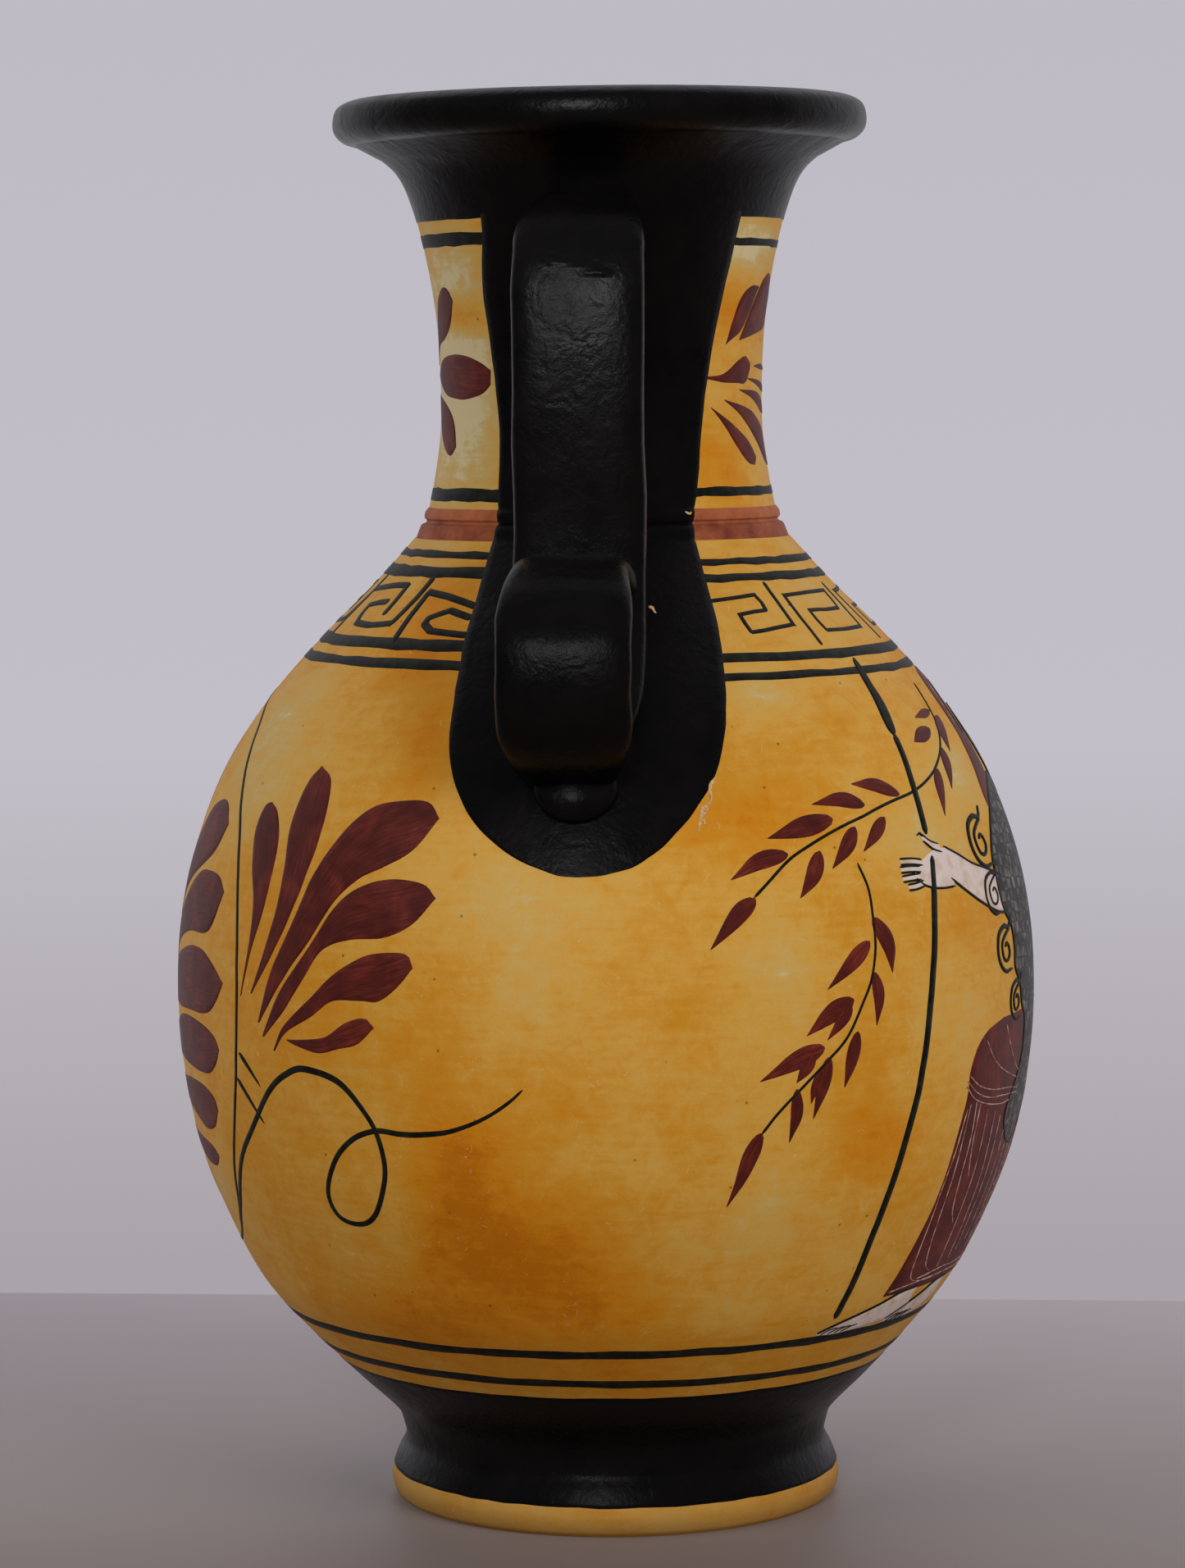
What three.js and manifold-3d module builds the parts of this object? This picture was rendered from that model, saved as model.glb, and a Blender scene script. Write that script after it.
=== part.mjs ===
// A hand-thrown two-handled amphora, 280 mm tall, as a three.js scene graph.
// The origin is the centre of the foot's resting plane. +Z is up, +X faces the painted front and
// the two handles stand on -Y and +Y. Millimetres.
import * as THREE from 'three';
import { mergeVertices } from 'three/addons/utils/BufferGeometryUtils.js';
import Module from 'manifold-3d';

const wasm = await Module();
wasm.setup();

// Heights where one piece of clay ends and the next begins.
const FOOT_TOP = 12.4;
const SHOULDER_TOP = 192.8;
const COLLAR_TOP = 198.8;
const NECK_TOP = 270.6;
const HEIGHT = 280;

// Clearance kept where two pieces meet.
const JOINT_GAP = 0.3;

// Thickness of the thrown wall, height of the floor inside, and radius of the hole at the neck joint.
const WALL = 5.2;
const FLOOR_HEIGHT = 18.5;
const BORE_RADIUS = 29.7;

// Ring foot: the ring that it rests on and the recess inside the ring.
const RESTING_RING_RADIUS = 43.4;
const RECESS_RADIUS = 35;
const RECESS_DEPTH = 4;

// Strap handle and the scroll at its lower end: width, thickness and the rounding of the edges.
const STRAP = { width: 25, thickness: 7, rounding: 3 };
const SCROLL = { width: 25, thickness: 6.4, rounding: 2.9 };

// Seen from in front, both pieces end in a rounded tongue: each is narrowed along a parabola above
// and below its full-width stretch, and loses a share of its width over a reach.
const STRAP_TAPER = { low: 168, high: HEIGHT, reachBelow: 18, reachAbove: 1, atBottom: 0.6, atTop: 0 };
const SCROLL_TAPER = { low: 162, high: 180, reachBelow: 12, reachAbove: 12, atBottom: 0.4, atTop: 0.3 };

// Thumb-pressed pad under the scroll: centre as [radius, height], half sizes and lean to the wall.
const ROOT = { centre: [76.2, 148.4], halfWidth: 8.5, halfThickness: 4.8, halfHeight: 6.8, lean: 0.47 };

// Facets round the axis, steps along a handle and facets on each rounded edge of its section.
const ROUND_FACETS = 44;
const STRAP_STEPS = 22;
const SCROLL_STEPS = 18;
const EDGE_FACETS = 2;

// Outlines, as [radius, height]. A smooth curve runs through the points of each.
const BELLY_OUTLINE = [
  [42.2, FOOT_TOP + JOINT_GAP],
  [43.9, 18],
  [51.9, 26],
  [61.6, 36],
  [69.8, 46],
  [76.6, 59],
  [81.9, 73],
  [85.1, 89],
  [86, 104],
  [84.9, 119],
  [81.3, 134],
  [75, 149],
  [66.3, 162],
  [55.5, 174],
  [45.5, 184],
  [37.6, SHOULDER_TOP],
];
const NECK_OUTLINE = [
  [34.4, COLLAR_TOP + JOINT_GAP],
  [33.3, 205],
  [32.1, 214],
  [32, 224],
  [32.7, 236],
  [34.6, 248],
  [37.2, 258.5],
  [40.4, 265.6],
  [46.4, NECK_TOP],
];
const FOOT_OUTLINE = [
  [RESTING_RING_RADIUS, 0],
  [44.6, 1.2],
  [45.2, 3.4],
  [44.9, 5.6],
  [43.7, 8.8],
  [42.2, FOOT_TOP],
];
const COLLAR_OUTLINE = [
  [36.8, SHOULDER_TOP + JOINT_GAP],
  [36.9, 194.2],
  [36.2, 195.6],
  [34.6, 196.2],
  [35.2, 196.9],
  [35.2, 197.9],
  [34.8, COLLAR_TOP],
];
const LIP_OUTLINE = [
  [46.4, NECK_TOP + JOINT_GAP],
  [50.4, 271.6],
  [52.5, 273.4],
  [53.1, 275.8],
  [52.3, 278.4],
  [50, 279.7],
  [47.6, HEIGHT],
  [45.2, 279],
  [43.2, 275.6],
  [41, NECK_TOP + JOINT_GAP],
];

// Centrelines of the handle, as [distance from the axis, height].
const STRAP_PATH = [
  [34, 255.8],
  [43, 256.4],
  [51, 253.2],
  [56.3, 246],
  [58.6, 235],
  [59.4, 221],
  [59, 207],
  [58.3, 195],
  [58.8, 185],
  [61.2, 176],
  [65.4, 168.4],
  [70.3, 161],
  [74.8, 152.4],
];
const SCROLL_PATH = [
  [58.5, 184.5],
  [66.5, 188],
  [75.5, 188],
  [83.6, 184.2],
  [89, 177.6],
  [90.8, 169.6],
  [89, 161.6],
  [84.3, 155.8],
  [78, 152.4],
  [71, 150.6],
];

const glaze = { color: 0x131215, roughness: 0.38, metalness: 0 };
const clay = { color: 0xc0924a, roughness: 0.8, metalness: 0 };
const redSlip = { color: 0x7a3a30, roughness: 0.8, metalness: 0 };

function smoothOutline(points, pointsPerStretch) {
  const curve = new THREE.SplineCurve(points.map(([radius, height]) => new THREE.Vector2(radius, height)));
  return curve.getPoints((points.length - 1) * pointsPerStretch);
}

// The outline moved by a distance to its left, which is inwards on an outline that climbs.
function offsetOutline(outline, distance) {
  return outline.map((point, i) => {
    const before = outline[Math.max(i - 1, 0)];
    const after = outline[Math.min(i + 1, outline.length - 1)];
    const along = after.clone().sub(before).normalize();
    return new THREE.Vector2(point.x - along.y * distance, point.y + along.x * distance);
  });
}

// Turn an outline round the Z axis.
function turn(outline) {
  const geometry = new THREE.LatheGeometry(outline, ROUND_FACETS);
  geometry.rotateX(Math.PI / 2);
  return geometry;
}

function toManifold(geometry) {
  geometry.deleteAttribute('normal');
  geometry.deleteAttribute('uv');
  const merged = mergeVertices(geometry, 1e-4);
  return new wasm.Manifold(new wasm.Mesh({
    numProp: 3,
    vertProperties: Float32Array.from(merged.attributes.position.array),
    triVerts: Uint32Array.from(merged.index.array),
  }));
}

function toGeometry(manifold) {
  const { vertProperties, triVerts } = manifold.getMesh();
  const geometry = new THREE.BufferGeometry();
  geometry.setAttribute('position', new THREE.BufferAttribute(vertProperties, 3));
  geometry.setIndex(new THREE.BufferAttribute(triVerts, 1));
  geometry.computeVertexNormals();
  return geometry;
}

function ringFoot() {
  return turn([
    new THREE.Vector2(0, RECESS_DEPTH),
    new THREE.Vector2(RECESS_RADIUS - RECESS_DEPTH / 2, RECESS_DEPTH),
    new THREE.Vector2(RECESS_RADIUS, 0),
    ...smoothOutline(FOOT_OUTLINE, 1),
    new THREE.Vector2(0, FOOT_TOP),
  ]);
}

function belly() {
  const outside = smoothOutline(BELLY_OUTLINE, 2);
  const inside = offsetOutline(smoothOutline(BELLY_OUTLINE, 1), WALL).filter(
    (point) => point.y > FLOOR_HEIGHT + WALL && point.y < SHOULDER_TOP - WALL,
  );
  return turn([
    new THREE.Vector2(0, FOOT_TOP + JOINT_GAP),
    ...outside,
    new THREE.Vector2(BORE_RADIUS, SHOULDER_TOP),
    ...inside.reverse(),
    new THREE.Vector2(inside.at(-1).x - 2 * WALL, FLOOR_HEIGHT + 1),
    new THREE.Vector2(0, FLOOR_HEIGHT),
  ]);
}

function collar() {
  const inner = new THREE.Vector2(BORE_RADIUS, SHOULDER_TOP + JOINT_GAP);
  return turn([
    inner,
    ...smoothOutline(COLLAR_OUTLINE, 1),
    new THREE.Vector2(BORE_RADIUS, COLLAR_TOP),
    inner,
  ]);
}

function neck() {
  const outside = smoothOutline(NECK_OUTLINE, 2);
  const inside = offsetOutline(smoothOutline(NECK_OUTLINE, 1), WALL).filter(
    (point) => point.y > COLLAR_TOP + WALL && point.y < NECK_TOP - WALL / 4,
  );
  const inner = new THREE.Vector2(BORE_RADIUS, COLLAR_TOP + JOINT_GAP);
  return turn([
    inner,
    ...outside,
    new THREE.Vector2(LIP_OUTLINE.at(-1)[0], NECK_TOP),
    ...inside.reverse(),
    inner,
  ]);
}

function lip() {
  return turn([...smoothOutline(LIP_OUTLINE, 1), new THREE.Vector2(...LIP_OUTLINE[0])]);
}

// The outside of the whole vessel without its hollow, grown by the joint gap.
// What is left of a handle once this is taken away stops just clear of the wall.
function vesselCutter() {
  const outline = [
    ...smoothOutline(BELLY_OUTLINE, 2),
    ...smoothOutline(COLLAR_OUTLINE, 1),
    ...smoothOutline(NECK_OUTLINE, 2),
  ];
  return toManifold(turn([
    new THREE.Vector2(0, FOOT_TOP),
    ...offsetOutline(outline, -JOINT_GAP),
    new THREE.Vector2(0, NECK_TOP),
  ]));
}

// A flat strap with rounded edges, carried along a centreline in the plane of the handle.
function strapAlong(path, section, steps, grow) {
  const halfWidth = section.width / 2 + grow;
  const halfThickness = section.thickness / 2 + grow;
  const rounding = section.rounding + grow;
  const x = halfWidth - rounding;
  const y = halfThickness - rounding;
  const outline = new THREE.Shape();
  outline.absarc(x, y, rounding, 0, Math.PI / 2);
  outline.absarc(-x, y, rounding, Math.PI / 2, Math.PI);
  outline.absarc(-x, -y, rounding, Math.PI, 1.5 * Math.PI);
  outline.absarc(x, -y, rounding, 1.5 * Math.PI, 2 * Math.PI);
  const centreline = new THREE.CatmullRomCurve3(
    path.map(([distance, height]) => new THREE.Vector3(0, -distance, height)),
  );
  return new THREE.ExtrudeGeometry(outline, { steps, curveSegments: EDGE_FACETS, extrudePath: centreline });
}

// How much of its width a tongue loses at a distance into its rounded end.
function widthLoss(distance, reach, lossAtTip) {
  return lossAtTip * Math.min(Math.max(distance / reach, 0), 1) ** 2;
}

function narrowEnds(geometry, taper) {
  const position = geometry.attributes.position;
  for (let i = 0; i < position.count; i += 1) {
    const height = position.getZ(i);
    const loss = widthLoss(taper.low - height, taper.reachBelow, taper.atBottom)
      + widthLoss(height - taper.high, taper.reachAbove, taper.atTop);
    position.setX(i, position.getX(i) * (1 - loss));
  }
  return geometry;
}

function strapBody(grow) {
  return toManifold(narrowEnds(strapAlong(STRAP_PATH, STRAP, STRAP_STEPS, grow), STRAP_TAPER));
}

function scrollBody(grow) {
  return toManifold(narrowEnds(strapAlong(SCROLL_PATH, SCROLL, SCROLL_STEPS, grow), SCROLL_TAPER));
}

function rootBody() {
  const geometry = new THREE.SphereGeometry(1, 14, 8);
  geometry.scale(ROOT.halfWidth, ROOT.halfThickness, ROOT.halfHeight);
  geometry.rotateX(-ROOT.lean);
  geometry.translate(0, -ROOT.centre[0], ROOT.centre[1]);
  return toManifold(geometry);
}

// The three pieces of the handle on -Y, each cut clear of what it is pressed onto.
function handlePieces() {
  const vessel = vesselCutter();
  const strap = strapBody(0).subtract(vessel);
  const scroll = scrollBody(0).subtract(vessel).subtract(strapBody(JOINT_GAP));
  const root = rootBody()
    .subtract(vessel)
    .subtract(strapBody(JOINT_GAP))
    .subtract(scrollBody(2 * JOINT_GAP));
  return { strap, scroll, root };
}

function piece(name, geometry, look) {
  const mesh = new THREE.Mesh(geometry, new THREE.MeshStandardMaterial(look));
  mesh.name = name;
  return mesh;
}

const amphora = new THREE.Group();
amphora.add(
  piece('foot', ringFoot(), glaze),
  piece('belly', belly(), clay),
  piece('collar', collar(), redSlip),
  piece('neck', neck(), clay),
  piece('lip', lip(), glaze),
);

// The same handle twice: the left one on -Y and the right one half a turn round the axis.
const pieces = handlePieces();
for (const [side, halfTurns] of [['left', 0], ['right', 1]]) {
  const handle = new THREE.Group();
  handle.rotation.z = halfTurns * Math.PI;
  for (const [name, manifold] of Object.entries(pieces)) {
    handle.add(piece(`${side}_${name}`, toGeometry(manifold), glaze));
  }
  amphora.add(handle);
}

export default amphora;
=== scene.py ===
import math

import bmesh
import bpy
import numpy as np
from mathutils import Matrix


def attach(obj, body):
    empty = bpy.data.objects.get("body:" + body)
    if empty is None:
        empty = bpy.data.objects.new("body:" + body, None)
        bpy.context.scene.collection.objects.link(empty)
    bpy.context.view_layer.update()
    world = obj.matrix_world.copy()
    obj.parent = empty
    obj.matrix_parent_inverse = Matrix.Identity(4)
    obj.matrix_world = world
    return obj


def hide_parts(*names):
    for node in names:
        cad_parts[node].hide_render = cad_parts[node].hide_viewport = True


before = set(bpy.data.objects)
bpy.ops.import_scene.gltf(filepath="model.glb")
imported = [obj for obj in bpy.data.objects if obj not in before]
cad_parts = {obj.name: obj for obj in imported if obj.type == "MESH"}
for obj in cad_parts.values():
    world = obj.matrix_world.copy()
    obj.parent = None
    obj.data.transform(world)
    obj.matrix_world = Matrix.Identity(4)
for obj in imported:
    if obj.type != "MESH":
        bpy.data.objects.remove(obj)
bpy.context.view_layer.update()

# ---- Viewpoint, table and light -------------------------------------------------------------
# The vase stands on a pale painted table, and a plain grey wall is far behind it. Two large soft
# windows light it from the sides, and one small lamp lights it from the front.


def linear(hex_colour):
    """An sRGB hex colour as linear red, green, blue, alpha: the standard display curve undone."""
    channels = np.array([int(hex_colour[i:i + 2], 16) for i in (1, 3, 5)]) / 255
    undone = np.where(channels <= 0.04045, channels / 12.92, ((channels + 0.055) / 1.055) ** 2.4)
    return (*undone.tolist(), 1.0)


def add_node(tree, kind, inputs=None, **settings):
    """Adds a node, sets its settings, and gives each input a value or a link."""
    made = tree.nodes.new(kind)
    for key, value in settings.items():
        setattr(made, key, value)
    for key, value in (inputs or {}).items():
        if isinstance(value, bpy.types.NodeSocket):
            tree.links.new(value, made.inputs[key])
        else:
            made.inputs[key].default_value = value
    return made


# The eye is 0.95 m away and level with the neck. It stands 4.2 degrees to the right of the near
# handle, looks 4.7 degrees down, and is panned and rolled by less than half a degree.
EYE_DISTANCE, EYE_HEIGHT = 0.95, 0.221284
EYE_ROUND, EYE_DOWN, EYE_PAN, EYE_ROLL = (math.radians(a) for a in (4.2, 4.7, -0.142, -0.429))
LENS_MM, SENSOR_MM = 109.006, 36
camera = bpy.data.objects.new("camera", bpy.data.cameras.new("camera"))
camera.data.lens = LENS_MM
camera.data.sensor_width = SENSOR_MM
camera.matrix_world = (
    Matrix.Translation((EYE_DISTANCE * math.sin(EYE_ROUND), -EYE_DISTANCE * math.cos(EYE_ROUND), EYE_HEIGHT))
    @ Matrix.Rotation(EYE_ROUND - EYE_PAN, 4, "Z")
    @ Matrix.Rotation(math.pi / 2 - EYE_DOWN, 4, "X")
    @ Matrix.Rotation(EYE_ROLL, 4, "Z")
)
bpy.context.collection.objects.link(camera)
bpy.context.scene.camera = camera
bpy.context.scene.view_settings.view_transform = "Standard"

# The table: its back edge, how far it reaches to the other three sides, how round its back edge
# is, how thick it is, and where the painted shade that darkens its tone towards the viewer stops.
TABLE_BACK = 0.213
TABLE_REACH = 2.6
TABLE_EDGE = 0.012
TABLE_THICK = 0.03
TABLE_SHADE_FROM = -0.4
table_profile = [(-TABLE_REACH, 0.0), (TABLE_BACK - TABLE_EDGE, 0.0)]
table_profile += [
    (TABLE_BACK - TABLE_EDGE + TABLE_EDGE * math.sin(a), TABLE_EDGE * (math.cos(a) - 1))
    for a in np.linspace(0.2, math.pi / 2, 6)
]
table_profile += [(TABLE_BACK, -TABLE_THICK), (-TABLE_REACH, -TABLE_THICK)]
table_points = [(x, y, z) for x in (-TABLE_REACH, TABLE_REACH) for y, z in table_profile]
table_count = len(table_profile)
table_faces = [
    (i, (i + 1) % table_count, (i + 1) % table_count + table_count, i + table_count)
    for i in range(table_count)
]
table_faces += [tuple(range(table_count))[::-1], tuple(range(table_count, 2 * table_count))]
table_mesh = bpy.data.meshes.new("table")
table_mesh.from_pydata(table_points, [], table_faces)
table = bpy.data.objects.new("table", table_mesh)
bpy.context.collection.objects.link(table)


def start_material(name):
    """A new material with nodes: the material, its node tree and its surface shader."""
    made = bpy.data.materials.new(name)
    made.use_nodes = True
    return made, made.node_tree, made.node_tree.nodes["Principled BSDF"]


# Matt emulsion on board: pale, faintly warm, with a soft sheen and a barely visible grain. Its tone
# is painted darker towards the viewer as shade, with a darker, warmer stop a little in front of the
# vase as its painted shadow and reflection.
emulsion, tree, shader = start_material("matt_emulsion_board_painted_falloff")
shader.inputs["Roughness"].default_value = 0.5
where = add_node(tree, "ShaderNodeTexCoord")
parts = add_node(tree, "ShaderNodeSeparateXYZ", {"Vector": where.outputs["Object"]})
reach = add_node(
    tree, "ShaderNodeMapRange",
    {"Value": parts.outputs["Y"], "From Min": TABLE_SHADE_FROM, "From Max": TABLE_BACK},
)
# Painted shade: the tone darkens towards the viewer, and the middle stop is a darker, warmer band in front of
# the vase, painted as its shadow and reflection.
painted_falloff = add_node(tree, "ShaderNodeValToRGB", {"Fac": reach.outputs["Result"]})
painted_falloff.color_ramp.elements[0].color = linear("#604e43")
painted_falloff.color_ramp.elements[1].color = linear("#c6bbc0")
painted_falloff.color_ramp.elements.new(0.49).color = linear("#7f716a")
tree.links.new(painted_falloff.outputs["Color"], shader.inputs["Base Color"])
grain = add_node(
    tree, "ShaderNodeTexNoise", {"Vector": where.outputs["Object"], "Scale": 420.0, "Detail": 3.0},
)
bump = add_node(
    tree, "ShaderNodeBump", {"Height": grain.outputs["Fac"], "Strength": 0.08, "Distance": 0.0002},
)
tree.links.new(bump.outputs["Normal"], shader.inputs["Normal"])
table_mesh.materials.append(emulsion)

# The wall is far enough away to be only a tone, with the light's falloff painted in as shade: paler
# above, greyer just over the table. The vase itself is lit by that wall behind, a dim ceiling, and a
# dark room in front of it.
WALL_SHADE_TONES = [(0.0, "#aaa3aa"), (0.16, "#b4aeb5"), (0.4, "#c2bfc8"), (1.0, "#bebbc4")]
WALL_TONES_FROM, WALL_TONES_TO = -0.18, 0.085
WALL_GLOW = 0.62
CEILING_GLOW = 0.12
ROOM_GLOW = 0.06
world = bpy.data.worlds.new("pale_wall")
bpy.context.scene.world = world
world.use_nodes = True
tree = world.node_tree
where = add_node(tree, "ShaderNodeTexCoord")
parts = add_node(tree, "ShaderNodeSeparateXYZ", {"Vector": where.outputs["Generated"]})
height = add_node(
    tree, "ShaderNodeMapRange",
    {"Value": parts.outputs["Z"], "From Min": WALL_TONES_FROM, "From Max": WALL_TONES_TO},
)
# Painted shade: the wall's tone is darker low down, just over the table.
painted_wall_shade = add_node(tree, "ShaderNodeValToRGB", {"Fac": height.outputs["Result"]})
painted_wall_shade.color_ramp.elements[0].color = linear(WALL_SHADE_TONES[0][1])
painted_wall_shade.color_ramp.elements[1].color = linear(WALL_SHADE_TONES[-1][1])
for stop, colour in WALL_SHADE_TONES[1:-1]:
    painted_wall_shade.color_ramp.elements.new(stop).color = linear(colour)
tree.links.new(painted_wall_shade.outputs["Color"], tree.nodes["Background"].inputs["Color"])
behind = add_node(
    tree, "ShaderNodeMapRange",
    {
        "Value": parts.outputs["Y"], "From Min": -0.1, "From Max": 0.5,
        "To Min": ROOM_GLOW, "To Max": WALL_GLOW,
    },
    interpolation_type="SMOOTHSTEP",
)
above = add_node(
    tree, "ShaderNodeMapRange",
    {"Value": parts.outputs["Z"], "From Min": 0.15, "From Max": 0.8, "To Min": 0.0, "To Max": CEILING_GLOW},
    interpolation_type="SMOOTHSTEP",
)
glow = add_node(tree, "ShaderNodeMath", {0: behind.outputs["Result"], 1: above.outputs["Result"]})
room = add_node(
    tree, "ShaderNodeBackground", {"Color": linear("#f4f2fa"), "Strength": glow.outputs["Value"]},
)
ray = add_node(tree, "ShaderNodeLightPath")
seen = add_node(
    tree, "ShaderNodeMixShader", {0: ray.outputs["Is Camera Ray"], 1: room.outputs["Background"]},
)
tree.links.new(tree.nodes["Background"].outputs["Background"], seen.inputs[2])
tree.links.new(seen.outputs["Shader"], tree.nodes["World Output"].inputs["Surface"])

# Each lamp: name, degrees round from the front, degrees up, distance, width, height, watts. All
# aim at the vase's middle. The two windows stand for curtained daylight, so only the front lamp is
# mirrored in the black slip.
LAMPS_AIM = (0, 0, 0.14)
LAMPS = [
    ("left_window", -60, 20, 1.7, 1.0, 0.8, 8.3),
    ("right_window", 44, 21, 1.7, 1.0, 0.8, 15.0),
    ("front_lamp", -5, 21, 1.7, 0.32, 0.26, 4.6),
]
for name, turn, up, distance, width, tall, watts in LAMPS:
    lamp = bpy.data.objects.new(name, bpy.data.lights.new(name, "AREA"))
    lamp.data.shape = "RECTANGLE"
    lamp.data.size = width
    lamp.data.size_y = tall
    lamp.data.energy = watts
    lamp.visible_glossy = name == "front_lamp"
    aim = Matrix.Rotation(math.radians(turn), 4, "Z") @ Matrix.Rotation(math.radians(90 - up), 4, "X")
    lamp.matrix_world = Matrix.Translation(LAMPS_AIM) @ aim @ Matrix.Translation((0, 0, distance))
    bpy.context.collection.objects.link(lamp)

# ---- Thrown body: foot and belly ------------------------------------------------------------
# The belly is thrown on the wheel in buff clay, 5 mm thick, and the solid foot ring is turned
# separately and joined with slip. Both are fired together before any painting.

MM = 0.001
AROUND = 288
WALL = 5.2
FOOT_AND_BELLY = [
    (43.4, 0), (44.6, 1.2), (45.2, 3.4), (44.9, 5.6), (43.7, 8.8), (42.2, 12.5), (43.9, 18), (51.9, 26),
    (61.6, 36), (69.8, 46), (76.5, 59), (81.8, 73), (84.9, 89), (85.75, 104), (84.7, 119), (81.2, 134),
    (74.9, 149), (66.2, 162), (55.5, 174), (45.5, 184), (37.4, 192.9),
]
FOOT_TOP = 12.5
FOOT_RECESS = [(0, 4), (33, 4), (35, 0.4), (36, 0)]
INSIDE_FLOOR = 18.5


def through(points, count):
    """Smooth curve through the points: on each stretch a cubic whose slope at a point is half
    the way from the point before it to the point after it."""
    p = np.asarray(points, float)
    p = np.vstack([2 * p[0] - p[1], p, 2 * p[-1] - p[-2]])
    t = np.linspace(0, len(p) - 3, count)
    i = np.minimum(t.astype(int), len(p) - 4)
    u = (t - i)[:, None]
    a, b, c, d = (p[i + k] for k in range(4))
    return (2 * b + (c - a) * u + (2 * a - 5 * b + 4 * c - d) * u**2 + (3 * b - a - 3 * c + d) * u**3) / 2


def ease(x):
    """0 below 0, 1 above 1, and 3x^2 - 2x^3 between."""
    x = np.clip(x, 0, 1)
    return x * x * (3 - 2 * x)


WAIST_OFF, WAIST_FROM, WAIST_FADES = 1.3, 14, 34
RIM_BACK, RIM_RIGHT, RIM_SUNK, RIM_RADIUS = 0.3, 0.25, 0.56, 53
RIM_FROM, RIM_GROWS = 235, 45


def hand_made(points):
    """The thrower's small faults, in mm: the waist and foot sit WAIST_OFF to the right of the axis,
    which fades out above them, and the rim is sunk and leans, rising to the back and the right."""
    x, y, z = np.moveaxis(np.asarray(points, float), -1, 0)
    side = WAIST_OFF * (1 - ease((z - WAIST_FROM) / WAIST_FADES))
    lean = RIM_BACK * y / RIM_RADIUS + RIM_RIGHT * x / RIM_RADIUS - RIM_SUNK
    return np.stack([x + side, y, z + lean * ease((z - RIM_FROM) / RIM_GROWS)], -1)


def put_mesh(name, points, faces, material, replaced=(), brush=None, crease=38, merge=True):
    """One object from points in millimetres and lists of corners: double points are merged,
    faces turned outwards, and edges sharper than the crease angle kept sharp."""
    mesh = bpy.data.meshes.new(name)
    mesh.from_pydata((np.asarray(points) * MM).tolist(), [], faces)
    if brush is not None:
        mesh.attributes.new("brush", "FLOAT_VECTOR", "POINT").data.foreach_set("vector", np.ravel(brush))
    work = bmesh.new()
    work.from_mesh(mesh)
    if merge:
        bmesh.ops.remove_doubles(work, verts=work.verts, dist=1e-6)
    bmesh.ops.recalc_face_normals(work, faces=work.faces)
    work.to_mesh(mesh)
    work.free()
    mesh.shade_smooth()
    mesh.set_sharp_from_angle(angle=math.radians(crease))
    mesh.materials.append(material)
    piece = bpy.data.objects.new(name, mesh)
    bpy.context.collection.objects.link(piece)
    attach(piece, "root")
    if replaced:
        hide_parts(*replaced)
    return piece


def squares(rows, columns, ring=False):
    """Corners of the squares of a grid whose rows close on themselves; with ring, the last row
    also meets the first."""
    row = np.arange(rows if ring else rows - 1)[:, None]
    here = np.arange(columns)[None, :]
    beside = (here + 1) % columns
    above = (row + 1) % rows
    corners = [row * columns + here, row * columns + beside, above * columns + beside, above * columns + here]
    return np.stack(corners, -1).reshape(-1, 4).tolist()


def turned(name, profile, material, replaced, ring=False):
    """A profile of (radius, height) carried once round the axis; an end on the axis closes to a
    point, and with ring the profile itself is a loop."""
    profile = np.asarray(profile, float)
    angle = np.linspace(0, 2 * math.pi, AROUND, endpoint=False)
    radius, height = profile[:, :1], profile[:, 1:]
    points = np.stack([radius * np.sin(angle), -radius * np.cos(angle), height + 0 * angle], -1)
    points = hand_made(points).reshape(-1, 3)
    brush = np.stack([height + 0 * angle, radius * angle, 0 * (height + angle)], -1).reshape(-1, 3)
    on_axis = np.repeat(profile[:, 0] == 0, AROUND)
    points[on_axis, :2] = hand_made([[0, 0, z] for z in points[on_axis, 2]])[:, :2] if on_axis.any() else 0
    return put_mesh(name, points, squares(len(profile), AROUND, ring), material, replaced, brush)


def inner_wall(outline, thickness):
    """The outline moved inwards, at right angles to itself, by the wall's thickness."""
    step = np.gradient(outline, axis=0)
    step /= np.linalg.norm(step, axis=1, keepdims=True)
    return outline + thickness * np.stack([-step[:, 1], step[:, 0]], -1)


lower_skin = through(FOOT_AND_BELLY, 300)  # a row every millimetre or so
foot_skin = lower_skin[lower_skin[:, 1] <= FOOT_TOP]
belly_skin = lower_skin[lower_skin[:, 1] > FOOT_TOP - 0.05]

# Earthenware, thrown and bisque fired, under a watery ochre wash that was brushed and dabbed on
# in patches. It is matt and mottled: pale straw where the wash was wiped thin, burnt orange where
# it pooled, with fine plaster-like grain, small scuffs that show the pale clay, dark specks, and a
# painted shade that darkens the foot's lowest edge where it meets the table.
ochre, tree, shader = start_material("ochre_washed_earthenware")
where = add_node(tree, "ShaderNodeTexCoord")
place = where.outputs["Object"]
wash = add_node(tree, "ShaderNodeAttribute", attribute_name="wash")
CLOUD_MM, DAB_MM, SCUFF_MM, SPECK_MM, GRAIN_MM = 24, 4.5, 4.2, 7.5, 0.8
cloud = add_node(
    tree, "ShaderNodeTexNoise",
    {"Vector": place, "Scale": 1 / (CLOUD_MM * MM), "Detail": 9.0, "Roughness": 0.68, "Distortion": 0.4},
)
dab = add_node(
    tree, "ShaderNodeTexNoise",
    {"Vector": place, "Scale": 1 / (DAB_MM * MM), "Detail": 7.0, "Roughness": 0.7, "Distortion": 0.8},
)
cloud_part = add_node(
    tree, "ShaderNodeMapRange",
    {"Value": cloud.outputs["Fac"], "From Min": 0.3, "From Max": 0.7, "To Min": -0.12, "To Max": 0.19},
)
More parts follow.
